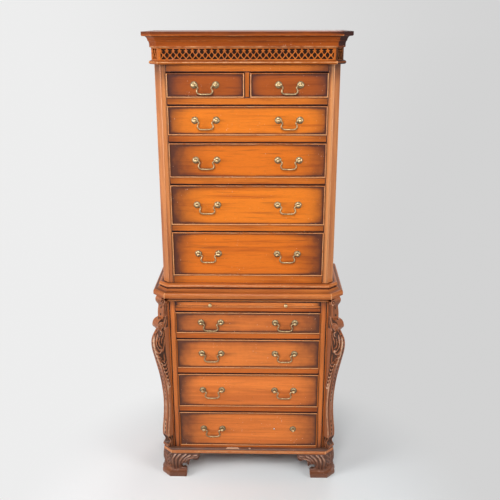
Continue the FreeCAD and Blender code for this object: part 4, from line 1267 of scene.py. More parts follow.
@dataclass(frozen=True)
class Handle:
    """A swan-neck handle: two roses, two bolts with ball heads, and a hanging bail."""

    x: float
    face: float
    z: float

    SPREAD = 38.1
    OUT = 13.0
    ROSE = ((0.5, 0.0, -1), (13.0, 0.0, -1), (13.0, 0.8, -0.8), (12.4, 1.6, -0.3), (11.4, 1.9, -0.3),
            (10.6, 1.8, -0.7), (10.0, 2.1, -0.3), (8.8, 3.0, -0.1), (7.2, 3.7, 0.0), (5.6, 4.1, -0.2),
            (4.4, 4.2, -0.6), (3.4, 4.8, -0.5), (2.9, 6.2, -0.2), (2.9, 7.6, -0.2), (3.6, 8.6, -0.1),
            (4.9, 10.3, -0.1), (5.5, 12.4, 0.1), (5.3, 14.8, 0.2), (4.2, 16.9, 0.3), (2.3, 18.2, 0.4),
            (0.4, 18.5, 0.4))
    STEM = ((2.4, 0.0, -0.5), (2.4, 24.0, -0.5))
    NUT = ((5.5, 0, -0.4), (5.5, 3.0, -0.2))
    HALF = ((42.1, 0), (34.0, 0.3), (27.2, -2.4), (23.6, -7.8), (25.4, -13.2), (27.6, -18.6),
            (26.8, -24.4), (21.8, -29.2), (12.0, -31.0), (0, -31.3))
    RADII = ((0, 11, 19, 27.5, 34, 42.1), (2.8, 2.8, 2.5, 2.5, 2.3, 1.9))

    def add_bolts(self, form: Form, sides: Sequence[int]) -> None:
        """Adds the roses, the bolts and the nuts inside.

        Args:
            form: The form that gets them.
            sides: Which of the two there are.
        """
        for side in sides:
            for profile, behind, steps in ((self.ROSE, 0, 22), (self.STEM, 24.4, 10), (self.NUT, 21.0, 4)):
                form.turned(profile, (self.x + self.SPREAD * side, self.face + behind, self.z), steps)

    def bail(self) -> tuple:
        """The bail's line and its thickness along it."""
        half = self.HALF
        line = flowing([(x, 0, z) for x, z in half] + [(-x, 0, z) for x, z in half[-2::-1]], 1.6)
        radii = np.interp(np.abs(line[:, 0]), *self.RADII)
        return line + (self.x, self.face - self.OUT, self.z), radii

    def add_bail(self, form: Form, rod: Rod) -> None:
        """Adds the bail."""
        line, radii = self.bail()
        form.absorb(rod.run(line, radii, Sides=12, Material=BRASS.made()))
        form.tones[-1] = np.full(len(form.tones[-1]), -0.10)


@dataclass
class Drawer:
    """A drawer: a polished front in proud beads, an oak box and its handles.

    Left and right are the depth and the width of the darkening at those ends of the board, partly shaded
    finish and partly painted shade. Pale lightens the upright beads and crest the top one: painted highlight
    above zero, painted shade below.
    """

    name: str
    finish: Wood
    front: float
    handles: Sequence[float]
    left: tuple
    right: tuple
    pale: float = 0.3
    crest: float = 0.1
    low: tuple = field(init=False)
    high: tuple = field(init=False)

    BEAD = 4.5
    PROUD = 3.0
    SUNK = 0.5
    THICK = 18.0
    FINE = 3.2
    MITRE = 3.0
    RIM = ((4.2, -1.0, -1), (4.2, 0.15, -1), (3.0, 0.5, -0.9), (2.6, 0.1, -0.9), (2.5, -1.0, -1))
    PLUG = ((2.6, -2.0, 0), (2.6, 0.2, 0), (1.8, 0.45, 0), (0.3, 0.5, 0))

    def __post_init__(self) -> None:
        """Reads the drawer's box."""
        low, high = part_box(self.name)
        self.low = tuple(part / MM for part in low)
        self.high = tuple(part / MM for part in high)

    @property
    def face(self) -> float:
        """The board's front."""
        return self.front + self.SUNK

    @property
    def height(self) -> float:
        """The height of the bolts."""
        return (self.low[2] + self.high[2]) / 2 + 1.5

    def lost(self, x: float) -> bool:
        """Whether the handle at x is the one that has lost its bail."""
        return (self.name, x > 0) == LOST

    def build(self, rod: Rod) -> None:
        """Makes the front, the box and the handles."""
        form, box = Form(), Form()
        self.panel(form)
        self.beads(form)
        form.piece(f"{self.name}_front", self.name, [self.finish, RAIL_WOOD], "drawer_wood", [self.name],
                   merge=False)
        ease_planks(box, planks(self.name)[5:], 0.6, 0.2)
        box.piece(f"{self.name}_box", self.name, [OAK], "drawer_wood")
        self.fit_handles(rod)

    def darkness(self, across: np.ndarray, up: np.ndarray) -> np.ndarray:
        """How dark the board is: painted shade and some shaded finish at its edges, and a painted shadow
        round each bail.
        """
        dark = np.zeros_like(across)
        # At each end: a narrow dark line by the bead, painted shade, and a wide darkening, partly shaded
        # finish and partly painted shade.
        for gap, (depth, wide) in ((across - across.min(), self.left), (across.max() - across, self.right)):
            dark += 0.58 * np.exp(-gap / 3.5) + depth * np.exp(-((gap / wide) ** 1.35))
        # Under the rail above and along the bottom: a narrow line and a wider falloff of painted shade.
        for gap, rim, narrow, depth, wide in ((up.max() - up, 0.85, 4.6, 0.24, 15.0),
                                              (up - up.min(), 0.80, 4.0, 0.16, 14.0)):
            dark += rim * np.exp(-((gap / narrow) ** 1.2)) + depth * np.exp(-gap / wide)
        # Round each bail, shifted right and down: its painted shadow.
        spots = np.stack([across, up], axis=-1)[:, :, None]
        for x in self.handles:
            if not self.lost(x):
                line = Handle(x, self.face, self.height).bail()[0][:, (0, 2)] + (1.5, -2.5)
                gap = np.linalg.norm(spots - line, axis=-1).min(-1)
                dark += 0.42 * np.exp(-((gap / 6.0) ** 2))
        return np.clip(dark, 0, 1.15)

    def panel(self, form: Form) -> None:
        """Adds the front board, closely divided at its edges and round the handles."""
        x = edge_steps(self.low[0] + self.BEAD, self.high[0] - self.BEAD)
        z = edge_steps(self.low[2] + self.BEAD, self.high[2] - self.BEAD)
        near = [np.arange(centre - 48, centre + 49, self.FINE) for centre in self.handles]
        bottom, top = max(self.height - 44, z[0] + 2), min(self.height + 16, z[-1] - 2)
        across, up = np.meshgrid(np.unique(np.concatenate([x, *near])),
                                 np.unique(np.r_[z, np.arange(bottom, top, self.FINE)]), indexing="ij")
        points = np.stack([across, np.full_like(across, self.face), up], axis=-1).reshape(-1, 3)
        number = np.arange(across.size).reshape(across.shape)
        squares = np.stack([number[:-1, :-1], number[1:, :-1], number[1:, 1:], number[:-1, 1:]], axis=-1)
        loop = np.r_[number[:, 0], number[-1, 1:], number[-2::-1, -1], number[0, -2:0:-1]]
        back = across.size + np.arange(len(loop))
        sides = np.c_[loop, np.roll(loop, -1), np.roll(back, -1), back]
        # The front takes the darkness, and the sides a fixed dark tone, painted shade.
        form.add(np.r_[points, points[loop] + (0, self.THICK, 0)], [*squares.reshape(-1, 4), *sides, back],
                 np.r_[-self.darkness(across, up).ravel(), np.full(len(loop), -0.5)])

    def beads(self, form: Form) -> None:
        """Adds the four mitred beads, pale on their crests, rubbing and painted highlight, and dark at their
        feet, painted shade.
        """
        nose, rear, cut = self.front - self.PROUD, self.face + self.THICK, self.MITRE
        section = ((0, rear, -1.0), (0, nose + 2.3, -1.0), (0.3, nose + 1.0, -0.5), (1.0, nose + 0.25, 0.3),
                   (2.25, nose, 0.6), (3.5, nose + 0.25, 0.4), (4.2, nose + 1.0, -0.3),
                   (4.5, nose + 2.2, -1.0), (4.5, self.face, -1.0), (4.5, rear, -1.0))
        rings, grain = [], []
        for inset, y, _ in section:
            a, b = self.low[0] + inset, self.high[0] - inset
            c, d = self.low[2] + inset, self.high[2] - inset
            corners = ((a, c), (a + cut, c), (b - cut, c), (b, c), (b, c + cut), (b, d - cut), (b, d),
                       (b - cut, d), (a + cut, d), (a, d), (a, d - cut), (a, c + cut))
            rings.append([(x, y, z) for x, z in corners])
            run = np.r_[0, np.cumsum(np.linalg.norm(np.diff(corners, axis=0), axis=1))]
            grain += [(place, inset, y) for place in run]
        tones = np.array([[tone] * len(rings[0]) for _, _, tone in section])
        # Painted highlight on the uprights by pale and on the bottom bead, painted shade where pale or crest
        # is below zero; crest sets the top bead.
        tones[3:6, [0, 3, 4, 5, 6, 9, 10, 11]] += self.pale
        tones[2:6, 1:3] += 0.7
        tones[3:6, 7:9] += self.crest
        form.loft(rings, tones, closed=True, grain=grain, slot=1)

    def fit_handles(self, rod: Rod) -> None:
        """Makes the brass, the bolts in one piece and each bail by itself, and the open hole."""
        bolts = Form()
        for x in self.handles:
            handle = Handle(x, self.face, self.height)
            handle.add_bolts(bolts, (1,) if self.lost(x) else (-1, 1))
            if self.lost(x):
                self.open_hole(x - handle.SPREAD)
                continue
            side = "" if self.name.startswith("short") else ("_left" if x < 0 else "_right")
            node = f"{self.name}{side}_bail"
            bail = Form()
            handle.add_bail(bail, rod)
            bail.piece(f"{node}_bent", node, [BRASS], "brass", [node], merge=False, angle=60)
        bolts.piece(f"{self.name}_roses", self.name, [BRASS], "brass", [f"{self.name}_bolts"], merge=False)

    def open_hole(self, x: float) -> None:
        """Makes the bare rim and the pale plug of the hole that a lost bolt left."""
        for name, finish, profile, steps in (("lost_bolt_rim", LOWER_FRONT, self.RIM, 16),
                                             ("lost_bolt_plug", PLUG, self.PLUG, 14)):
            form = Form()
            form.turned(profile, (x, self.face, self.height), steps)
            form.piece(name, self.name, [finish], "drawer_wood")


def drawers() -> None:
    """The two short drawers and the eight long ones."""
    rod = Rod()
    upper, lower = UPPER_PLAN.front, LOWER_PLAN.front
    for side, x, left, right in (("left", -148.5, (0.95, 44), (0.6, 30)),
                                 ("right", 148.5, (0.6, 26), (0.7, 42))):
        Drawer(f"short_drawer_{side}", SHORT_FRONT, upper, (x,), left, right, 0.6, -0.6).build(rod)
    upper_ends = (((0.7, 50), (0.6, 44)), ((0.95, 88), (0.75, 72)), ((0.9, 78), (0.75, 42)),
                  ((0.9, 56), (0.85, 72)))
    lower_ends = (((0.5, 60), (0.5, 60)), ((0.62, 44), (0.55, 60)), ((0.88, 54), (0.6, 60)),
                  ((0.85, 95), (0.65, 100)))
    for number in range(4):
        finish = DEEP_FRONT if number % 2 else UPPER_FRONT
        Drawer(f"upper_drawer_{number + 1}", finish, upper, (-148.5, 148.5), *upper_ends[number]).build(rod)
        Drawer(f"lower_drawer_{number + 1}", LOWER_FRONT, lower, (-143.8, 143.8), *lower_ends[number],
               -0.3, 0.5).build(rod)


@dataclass(frozen=True)
class BrushingSlide:
    """The pull-out slide under the waist, with two scratched beads and two knobs."""

    half: float = 281.0
    low: float = 750.0
    high: float = 775.0
    front: float = -141.569
    knob_x: float = 145.0

    KNOB = ((5.6, 0.0, -1), (5.6, 1.2, -0.4), (3.2, 1.8, -0.8), (3.1, 4.0, -0.6), (4.4, 5.6, -0.2),
            (6.4, 7.4, 0.2), (7.0, 9.2, 0.5), (6.3, 11.6, 0.7), (4.2, 13.3, 0.9), (1.6, 13.9, 0.9),
            (0.3, 14.0, 0.9))
    FACE = ((0, 0, -0.6), (-0.9, 0.9, 0.4), (-0.9, 3.2, 0.4), (0.1, 3.9, -1), (0.1, 4.6, -1),
            (-0.9, 5.3, 0.4), (-0.9, 7.6, 0.4), (0.1, 8.3, -1), (0.1, 9.0, -1), (-0.6, 9.6, 0.1),
            (0, 11, 0), (0, 20.4, 0.1), (0, 22.4, -0.9), (0.9, 25, -1), (22, 25, -0.5), (22, 0, -0.5))

    def build(self) -> None:
        """Makes the board and its knobs."""
        form, knobs = Form(), Form()
        xs = edge_steps(-self.half, self.half)
        deep, up, tones = np.array(self.FACE, float).T
        # Darker towards both ends; the face's tones darken the quirks, grime and painted shade, and lighten
        # the bead crests, rubbing and painted highlight.
        ends = 0.8 * -np.exp(-(self.half - np.abs(xs)) / 12.0)
        rings = [np.c_[np.full(len(up), x), self.front + deep, self.low + up] for x in xs]
        form.loft(rings, np.clip(ends[:, None] + tones, -1, 1))
        ease_planks(form, planks("slide_board")[1:], 0.6, 0.1)
        form.piece("brushing_slide_board", "brushing_slide", [SLIDE_WOOD], "show_wood", ["slide_board"],
                   merge=False)
        for side in (-1, 1):
            knobs.turned(self.KNOB, (self.knob_x * side, self.front, (self.low + self.high) / 2), 20)
        knobs.piece("brushing_slide_knobs", "brushing_slide", [BRASS], "brass", ["slide_knobs"], merge=False)


# Carving


@dataclass(frozen=True)
class Stroke:
    """One rib or cut of a carving along a flowing line."""

    line: tuple
    width: tuple
    height: float
    vein: float = 0.0


def carved(points: np.ndarray, strokes: Sequence[Stroke], ground: Any = 0.0) -> np.ndarray:
    """The height of a carved surface.

    Args:
        points: Where, one row each.
        strokes: Its ribs, of positive height, and cuts, of negative height.
        ground: The height of the surface before it is carved.

    Returns:
        The height at each point.
    """
    relief = np.broadcast_to(np.asarray(ground, float), len(points)).copy()
    for stroke in strokes:
        line = flowing(stroke.line, 1.2)
        run = np.linspace(0, 1, len(line))
        width = np.interp(run, np.linspace(0, 1, len(stroke.width)), stroke.width)
        reach = max(stroke.width)
        near = np.flatnonzero(((points > line.min(0) - reach) & (points < line.max(0) + reach)).all(1))
        if not len(near):
            continue
        gaps = np.linalg.norm(points[near][:, None] - line[None], axis=2) / width[None]
        gap = gaps.min(1)
        rib = np.sqrt(np.clip(1 - gap ** 2, 0, 1)) * abs(stroke.height)
        if stroke.vein:
            rib -= np.clip(1 - gap / 0.22, 0, 1) * stroke.vein * (gap < 1)
        if stroke.height > 0:
            hit = gap < 1
            relief[near[hit]] = np.maximum(relief[near[hit]], (rib + np.minimum(relief[near], 0))[hit])
        else:
            relief[near] -= rib
    return relief


def relief_tone(relief: np.ndarray, low: float = 1.6, high: float = 2.6) -> np.ndarray:
    """Dark where a carving is hollow, grime and painted shade, and pale where it stands out, rubbing and
    painted highlight.
    """
    return np.clip(relief / low, -1, 0) + np.clip(relief / high, 0, 1) * 0.8


@dataclass(frozen=True)
class ScrollCorner:
    """The carved bracket on a lower cant: a scrolled outline with leaves on both sides."""

    low: float = 127.5
    high: float = 797.0
    reach: float = 62.0
    thick: float = 34.0
    notch: float = 12.5
    notch_z: float = 776.5

    EDGE = (
        ((0, 0.36), (0.010, 0.45), (0.024, 0.42), (0.034, 0.30), (0.044, 0.27), (0.058, 0.35),
         (0.083, 0.44), (0.122, 0.44), (0.184, 0.355), (0.246, 0.285), (0.331, 0.275), (0.404, 0.34),
         (0.506, 0.525), (0.557, 0.66), (0.612, 0.805), (0.667, 0.95), (0.715, 1.0), (0.751, 0.925),
         (0.776, 0.755), (0.795, 0.60)),
        ((0.795, 0.60), (0.806, 0.70), (0.822, 0.80), (0.840, 0.83), (0.857, 0.74), (0.866, 0.55),
         (0.868, 0.40)),
        ((0.868, 0.40), (0.895, 0.395), (0.922, 0.355), (0.942, 0.34), (0.953, 0.42), (0.966, 0.50),
         (0.982, 0.53), (0.994, 0.47), (1.0, 0.40)),
    )

    LEAVES = (
        (((74, 652), (62, 663), (44, 661), (34, 650), (40, 641)), (2.4, 4.2, 4.4, 3.4, 2.2), 4.4),
        (((73, 642), (79, 616), (74, 590), (60, 570), (45, 569)), (2.4, 4.0, 4.4, 3.6), 4.6),
        (((59, 646), (64, 622), (61, 600), (49, 582)), (2.0, 3.8, 3.8, 2.8), 4.2),
        (((44, 634), (50, 617), (47, 600), (38, 590)), (1.8, 3.6, 3.6, 2.6), 3.9),
        (((25, 652), (29, 634), (37, 620), (36, 606)), (1.8, 3.0, 3.4, 2.0), 3.8),
        (((24, 628), (24, 606), (28, 586), (32, 570)), (1.6, 3.0, 3.4, 2.4), 3.6),
        (((40, 578), (39, 576)), (7.0,), 5.2),
        (((72, 580), (68, 560), (57, 549), (50, 552)), (2.2, 3.6, 3.6, 2.4), 4.0),
        (((27, 560), (28, 548), (26, 532), (30, 520)), (1.6, 3.2, 3.2, 2.0), 3.6),
        (((60, 560), (61, 540), (52, 525), (43, 520)), (1.8, 3.2, 3.2, 2.0), 4.0),
    )
    ENDS = (
        Stroke(((14, 716), (17, 700), (26, 682), (38, 668)), (2.6, 4.2, 4.6), 3.4),
        Stroke(((7, 716), (9, 694), (15, 674), (24, 660)), (2.2, 3.4, 3.0), 2.6),
        Stroke(((5.5, 764), (5.5, 730), (7, 700)), (2.0,), -2.4),
        Stroke(((13, 764), (13, 735), (14.5, 716)), (2.2,), -2.4),
        Stroke(((30, 788), (20, 786), (16, 776), (20, 768), (28, 772), (25, 779)), (2.4, 3.0, 2.4), 2.6),
        Stroke(((4, 134), (6, 156), (12, 176)), (2.4, 4.0, 1.8), 3.0, 1.0),
        Stroke(((12, 132), (14, 152), (21, 172)), (2.6, 4.4, 1.8), 3.4, 1.2),
        Stroke(((21, 133), (23, 150), (27, 164)), (2.2, 3.6, 1.6), 3.0, 1.0),
    )
    # Heights of the parts, as zone takes them.
    TOE = (140, 6, 186, 8)
    CHANNEL = (186, 10, 668, 10)
    SHEEN_ZONE = (186, 10, 430, 50)
    LEAFY = (400, 14, 668, 5)
    WRAPPED = (470, 60, 664, 8)
    NECK = (664, 5, 716, 5)
    FLUTED = (714, 8, 790, 6)

    STEP = 2.0
    ROWS = (-1, -0.95, -0.88, -0.8, -0.68, -0.55, -0.4, -0.25, -0.12, 0, 0.12, 0.25, 0.4, 0.55, 0.68, 0.8,
            0.88, 0.95, 1)
    VOLUTE = (0.06, 0.2, 0.32, 0.44, 0.56, 0.66, 0.76, 0.86, 0.94, 1.0)
    DASH = ((-6.5, 0), (-2.5, 2.8), (2.0, 3.1), (5.5, 1.6), (7.0, 0), (5.5, -1.6), (2.0, -3.1), (-2.5, -2.8))

    @staticmethod
    def rim(z: Any) -> Any:
        """The outer border of the leaves, over the edge where it is more than the edge's reach."""
        return np.interp(z, (400, 450, 500, 540, 580, 660), (11, 26, 43, 57, 72, 74))

    @staticmethod
    def root(z: Any) -> Any:
        """The inner border of the leaves."""
        return np.interp(z, (400, 450, 500, 560, 660), (2, 7, 14, 18, 21))

    def edge(self) -> np.ndarray:
        """The outer edge from its foot up: out and up of each point."""
        first, *others = (flowing([(self.reach * out, self.low + (self.high - self.low) * rise)
                                   for rise, out in shares], self.STEP) for shares in self.EDGE)
        return np.concatenate([first, *(other[1:] for other in others)])

    def strokes(self, edge: np.ndarray) -> list:
        """The ribs and leaves of a side, in millimetres out and up."""
        levels = np.arange(185, 400, 12.0)
        rib = [(max(2.0, out - 4.4 * min(1, (out - 4) / 16)), z)
               for out, z in zip(np.interp(levels, edge[:, 1], edge[:, 0]), levels)]
        rib += [(self.rim(z) + 3, z) for z in np.arange(412, 662, 12.0)]
        strokes = [Stroke(tuple(rib), (4.2,), 1.8)]
        strokes += [Stroke(line, width, height) for line, width, height in self.LEAVES]
        for z in np.arange(516, 404, -17.5):
            first, last = self.rim(z + 10) - 3, self.root(z - 8) + 3
            span = first - last
            leaf = ((first, z + 19), (first - 0.2 * span, z + 5), (last + 0.5 * span, z - 6),
                    (last + 0.1 * span, z - 5), (last, z + 3))
            bud = ((last + 0.5 * span, z + 12), (last + 0.35 * span, z + 5))
            strokes += [Stroke(leaf, (1.3, 3.0, 3.4, 2.8, 1.5), 3.9), Stroke(bud, (2.0, 2.6, 1.6), 3.4)]
        for out, z, size in ((46, 543, 6.0), (37, 529, 4.6)):
            dot = ((out, z), (out - 0.5, z - 0.5))
            strokes += [Stroke(dot, (size,), 4.4), Stroke(dot, (size * 0.42,), -3.4)]
        return [*strokes, *self.ENDS]

    def ground(self, points: np.ndarray, edge: np.ndarray) -> np.ndarray:
        """The sunk ground round the leaves, at the neck, in the head and at the toe."""
        out, up = points.T
        gap = np.interp(up, edge[:, 1], edge[:, 0]) - out
        floor = ramp(out, self.rim(up), -1.5) * ramp(out, self.root(up), 1.5) * zone(up, *self.LEAFY)
        neck = zone(up, *self.NECK) * ramp(out, 2, 2) * (gap > -0.1)
        head = ramp(up, 766, 4) * ramp(out, 14, 3) * 0.7 * (gap > -0.1)
        toe = ramp(up, 180, -8) * ramp(gap, 0, 3)
        return -2.7 * floor - 1.8 * neck - 1.8 * head - 3.0 * toe

    def edge_relief(self, edge: np.ndarray, rows: np.ndarray) -> np.ndarray:
        """The height of the outer edge's carving at each point and row."""
        up = edge[:, 1][:, None]
        share = np.abs(rows)[None] / (self.thick / 2)
        sunk = zone(up, *self.CHANNEL)
        hollow = -0.5 * ramp(share, 0.62, -0.12) * sunk * (rows[None] > -2)
        groove = 2.3 * np.exp(-(((share - 0.70) / 0.15) ** 2)) * sunk * ramp(up, 500, -60)
        flutes = (-1.4 * np.abs(np.sin(rows[None] * math.pi / 7.5))) * (share < 0.93)
        return hollow - groove + flutes * (zone(up, *self.FLUTED) + 1.7 * zone(up, *self.TOE))

    def band(self, loop: np.ndarray, edge: np.ndarray, rows: np.ndarray, strokes: Sequence) -> tuple:
        """The band between both sides, its outer edge carved.

        Args:
            loop: The bracket's outline, the outer edge first.
            edge: The outer edge.
            rows: How far each row is from the middle.
            strokes: The carving of a side, which wraps over the edge.

        Returns:
            The points and the tones of each row.
        """
        count, up = len(edge), edge[:, 1]
        soft = zone(loop[:, 1], *self.WRAPPED)
        ahead = np.roll(loop, -1, axis=0) - np.roll(loop, 1, axis=0)
        normal = np.c_[ahead[:, 1], -ahead[:, 0]]
        normal /= np.maximum(np.linalg.norm(normal, axis=1), 1e-6)[:, None]
        relief = self.edge_relief(edge, rows)
        points, shades = [], []
        for column, across in enumerate(rows):
            inset = across + self.thick / 2
            over = edge + (inset, 0)
            wrapped = carved(over, strokes, self.ground(over, edge))
            rolled = 4.0 * soft * math.exp(-inset / 4.0)
            lift = np.zeros(len(loop))
            lift[:count] = relief[:, column] + (wrapped * soft[:count] * (across < 3.0) - rolled[:count])
            ring = loop + normal * lift[:, None]
            depth = np.full(len(loop), across)
            if not column:
                depth[:count] += np.minimum(-lift[:count] * 0.6, 4.0)
            points.append(np.c_[ring[:, 0], depth, ring[:, 1]])
            # The outer edge: paler in the lower zone, painted highlight; darker at the toe; its last row
            # dark, painted shade along the outline.
            pale = ramp(across, -6, 8) * zone(up, *self.SHEEN_ZONE)
            shade = relief_tone(lift + rolled, 1.9, 2.2)
            shade[:count] += -0.7 if across == rows[-1] else 0.12 + 0.65 * pale - 0.35 * ramp(up, 190, -8)
            shades.append(shade)
        return points, shades

    def solid(self, form: Form) -> None:
        """Adds the bracket in its own plane: out, across and up."""
        edge = self.edge()
        rear = [(0, z) for z in np.linspace(self.notch_z, self.low, 70)]
        loop = np.r_[edge, [(self.notch, self.high), (self.notch, self.notch_z)], rear]
        rim, rows = len(loop), np.array(self.ROWS) * self.thick / 2
        flat, faces = triangulated([loop], self.STEP)
        strokes = self.strokes(edge)
        relief = carved(flat, strokes, self.ground(flat, edge))
        relief[:rim] = 0
        out, up = flat[rim:].T
        gap = np.interp(up, edge[:, 1], edge[:, 0]) - out
        inward = 4.0 * zone(up, *self.WRAPPED) * np.clip(1 - gap / 10, 0, 1)
        points, shades = self.band(loop, edge, rows, strokes)
        total = rim * len(rows)
        skins = [(start + a, start + b, start + rim + b, start + rim + a)
                 for start in range(0, total - rim, rim) for a, b in rims([loop])]
        for side, ring in ((-1, 0), (1, total - rim)):
            sunk = inward * (side < 0)
            depth = side * (self.thick / 2 + relief[rim:] - sunk * 0.6)
            numbers = np.r_[np.arange(rim) + ring, np.arange(len(up)) + total]
            skins += [numbers[face] for face in faces]
            points.append(np.c_[out - sunk, depth, up])
            shades.append(relief_tone(relief[rim:], 1.5, 2.1))
            total += len(up)
        form.add(np.concatenate(points), skins, np.concatenate(shades), along=2)

    def dash(self) -> Form:
        """A small pointed leaf of the carved edge, barely raised and dark all over, standing for a cut:
        painted shade.
        """
        form = Form()
        form.loft([[(x * long, y * wide, z) for x, y in self.DASH]
                   for long, wide, z in ((1, 1, -2.5), (1, 1, 0.08), (0.5, 0.3, 0.16))], -1.0)
        return form

    def roll(self, form: Form) -> None:
        """Adds the roll above the shoulder, with a volute cut in both ends."""
        centre = (self.reach * 0.60, self.low + (self.high - self.low) * 0.829)
        angles = np.linspace(0, 2 * math.pi, 40, endpoint=False)
        size, half = 15.0, self.thick / 2 + 2.2
        rings: list = []

        def ring(radius: float, across: Any, tone: np.ndarray) -> None:
            """Adds a ring of the roll."""
            rings.append((np.c_[centre[0] + radius * np.cos(angles), np.broadcast_to(across, len(angles)),
                                centre[1] + radius * np.sin(angles)], tone))

        def end(side: int, shares: Sequence[float]) -> None:
            """Adds the rings of an end."""
            for share in shares:
                phase = (share * 2.1 - angles / (2 * math.pi)) % 1.0
                cut = np.exp(-((np.minimum(phase, 1 - phase) / 0.16) ** 2)) * (share < 0.9)
                bulge = 1.6 * (1 - share ** 2) - cut * 1.7 - 0.8 * (share > 0.97)
                # The volute's groove dark, grime and painted shade, the rest slightly pale.
                ring(size * share, side * (half + bulge), 0.35 - cut * 1.3)

        end(-1, self.VOLUTE)
        # The barrel paler on top and darker underneath: painted highlight and shade.
        for across in (-0.9, -0.6, -0.3, 0, 0.3, 0.6, 0.9):
            ring(size * (1.0 - 0.10 * (1 - across ** 2)), across * half, 0.25 + 0.5 * np.sin(angles + 0.3))
        end(1, self.VOLUTE[::-1])
        form.loft([points for points, _ in rings], np.array([tone for _, tone in rings]), along=2)

    @staticmethod
    def aside(points: np.ndarray) -> np.ndarray:
        """The dashes, moved aside where the leaves reach over the edge."""
        shift = np.interp(points[:, 2], (430, 560), (0.0, 8.5))
        return points + np.c_[shift * 0, shift, shift * 0]

    def build(self) -> None:
        """Makes the bracket of each side."""
        x, y = (LOWER_PLAN.corner + LOWER_PLAN.half) / 2, (LOWER_PLAN.front + LOWER_PLAN.cant_end) / 2
        row = Row("edge_leaves", "Y")
        own = Form()
        self.solid(own)
        self.roll(own)
        for low, high, count, place, uneven in ((345, 655, 19, self.aside, 0.25), (706, 752, 3, None, 0.0),
                                                (196, 252, 4, None, 0.0)):
            path = [(out, 0, z) for out, z in self.edge() if low < z < high][::-1]
            row.laid(own, self.dash(), path, count, CARVED_WOOD, place, along=2, uneven=uneven)
        root = math.sqrt(0.5)
        for side, sign in (("right", 1), ("left", -1)):
            form, start = Form(), 0
            for points, tones in zip(own.points, own.tones):
                out, across, up = points.T
                moved = np.c_[(x + (out + across) * root) * sign, y + (across - out) * root, up]
                end = start + len(points)
                faces = [np.array(face) - start for face in own.faces if start <= face[0] < end]
                form.add(moved, faces, tones, along=2)
                start = end
            form.piece(f"{side}_carved_scroll", "carcase", [CARVED_WOOD], "carved_wood",
                       [f"{side}_scroll_corner"])


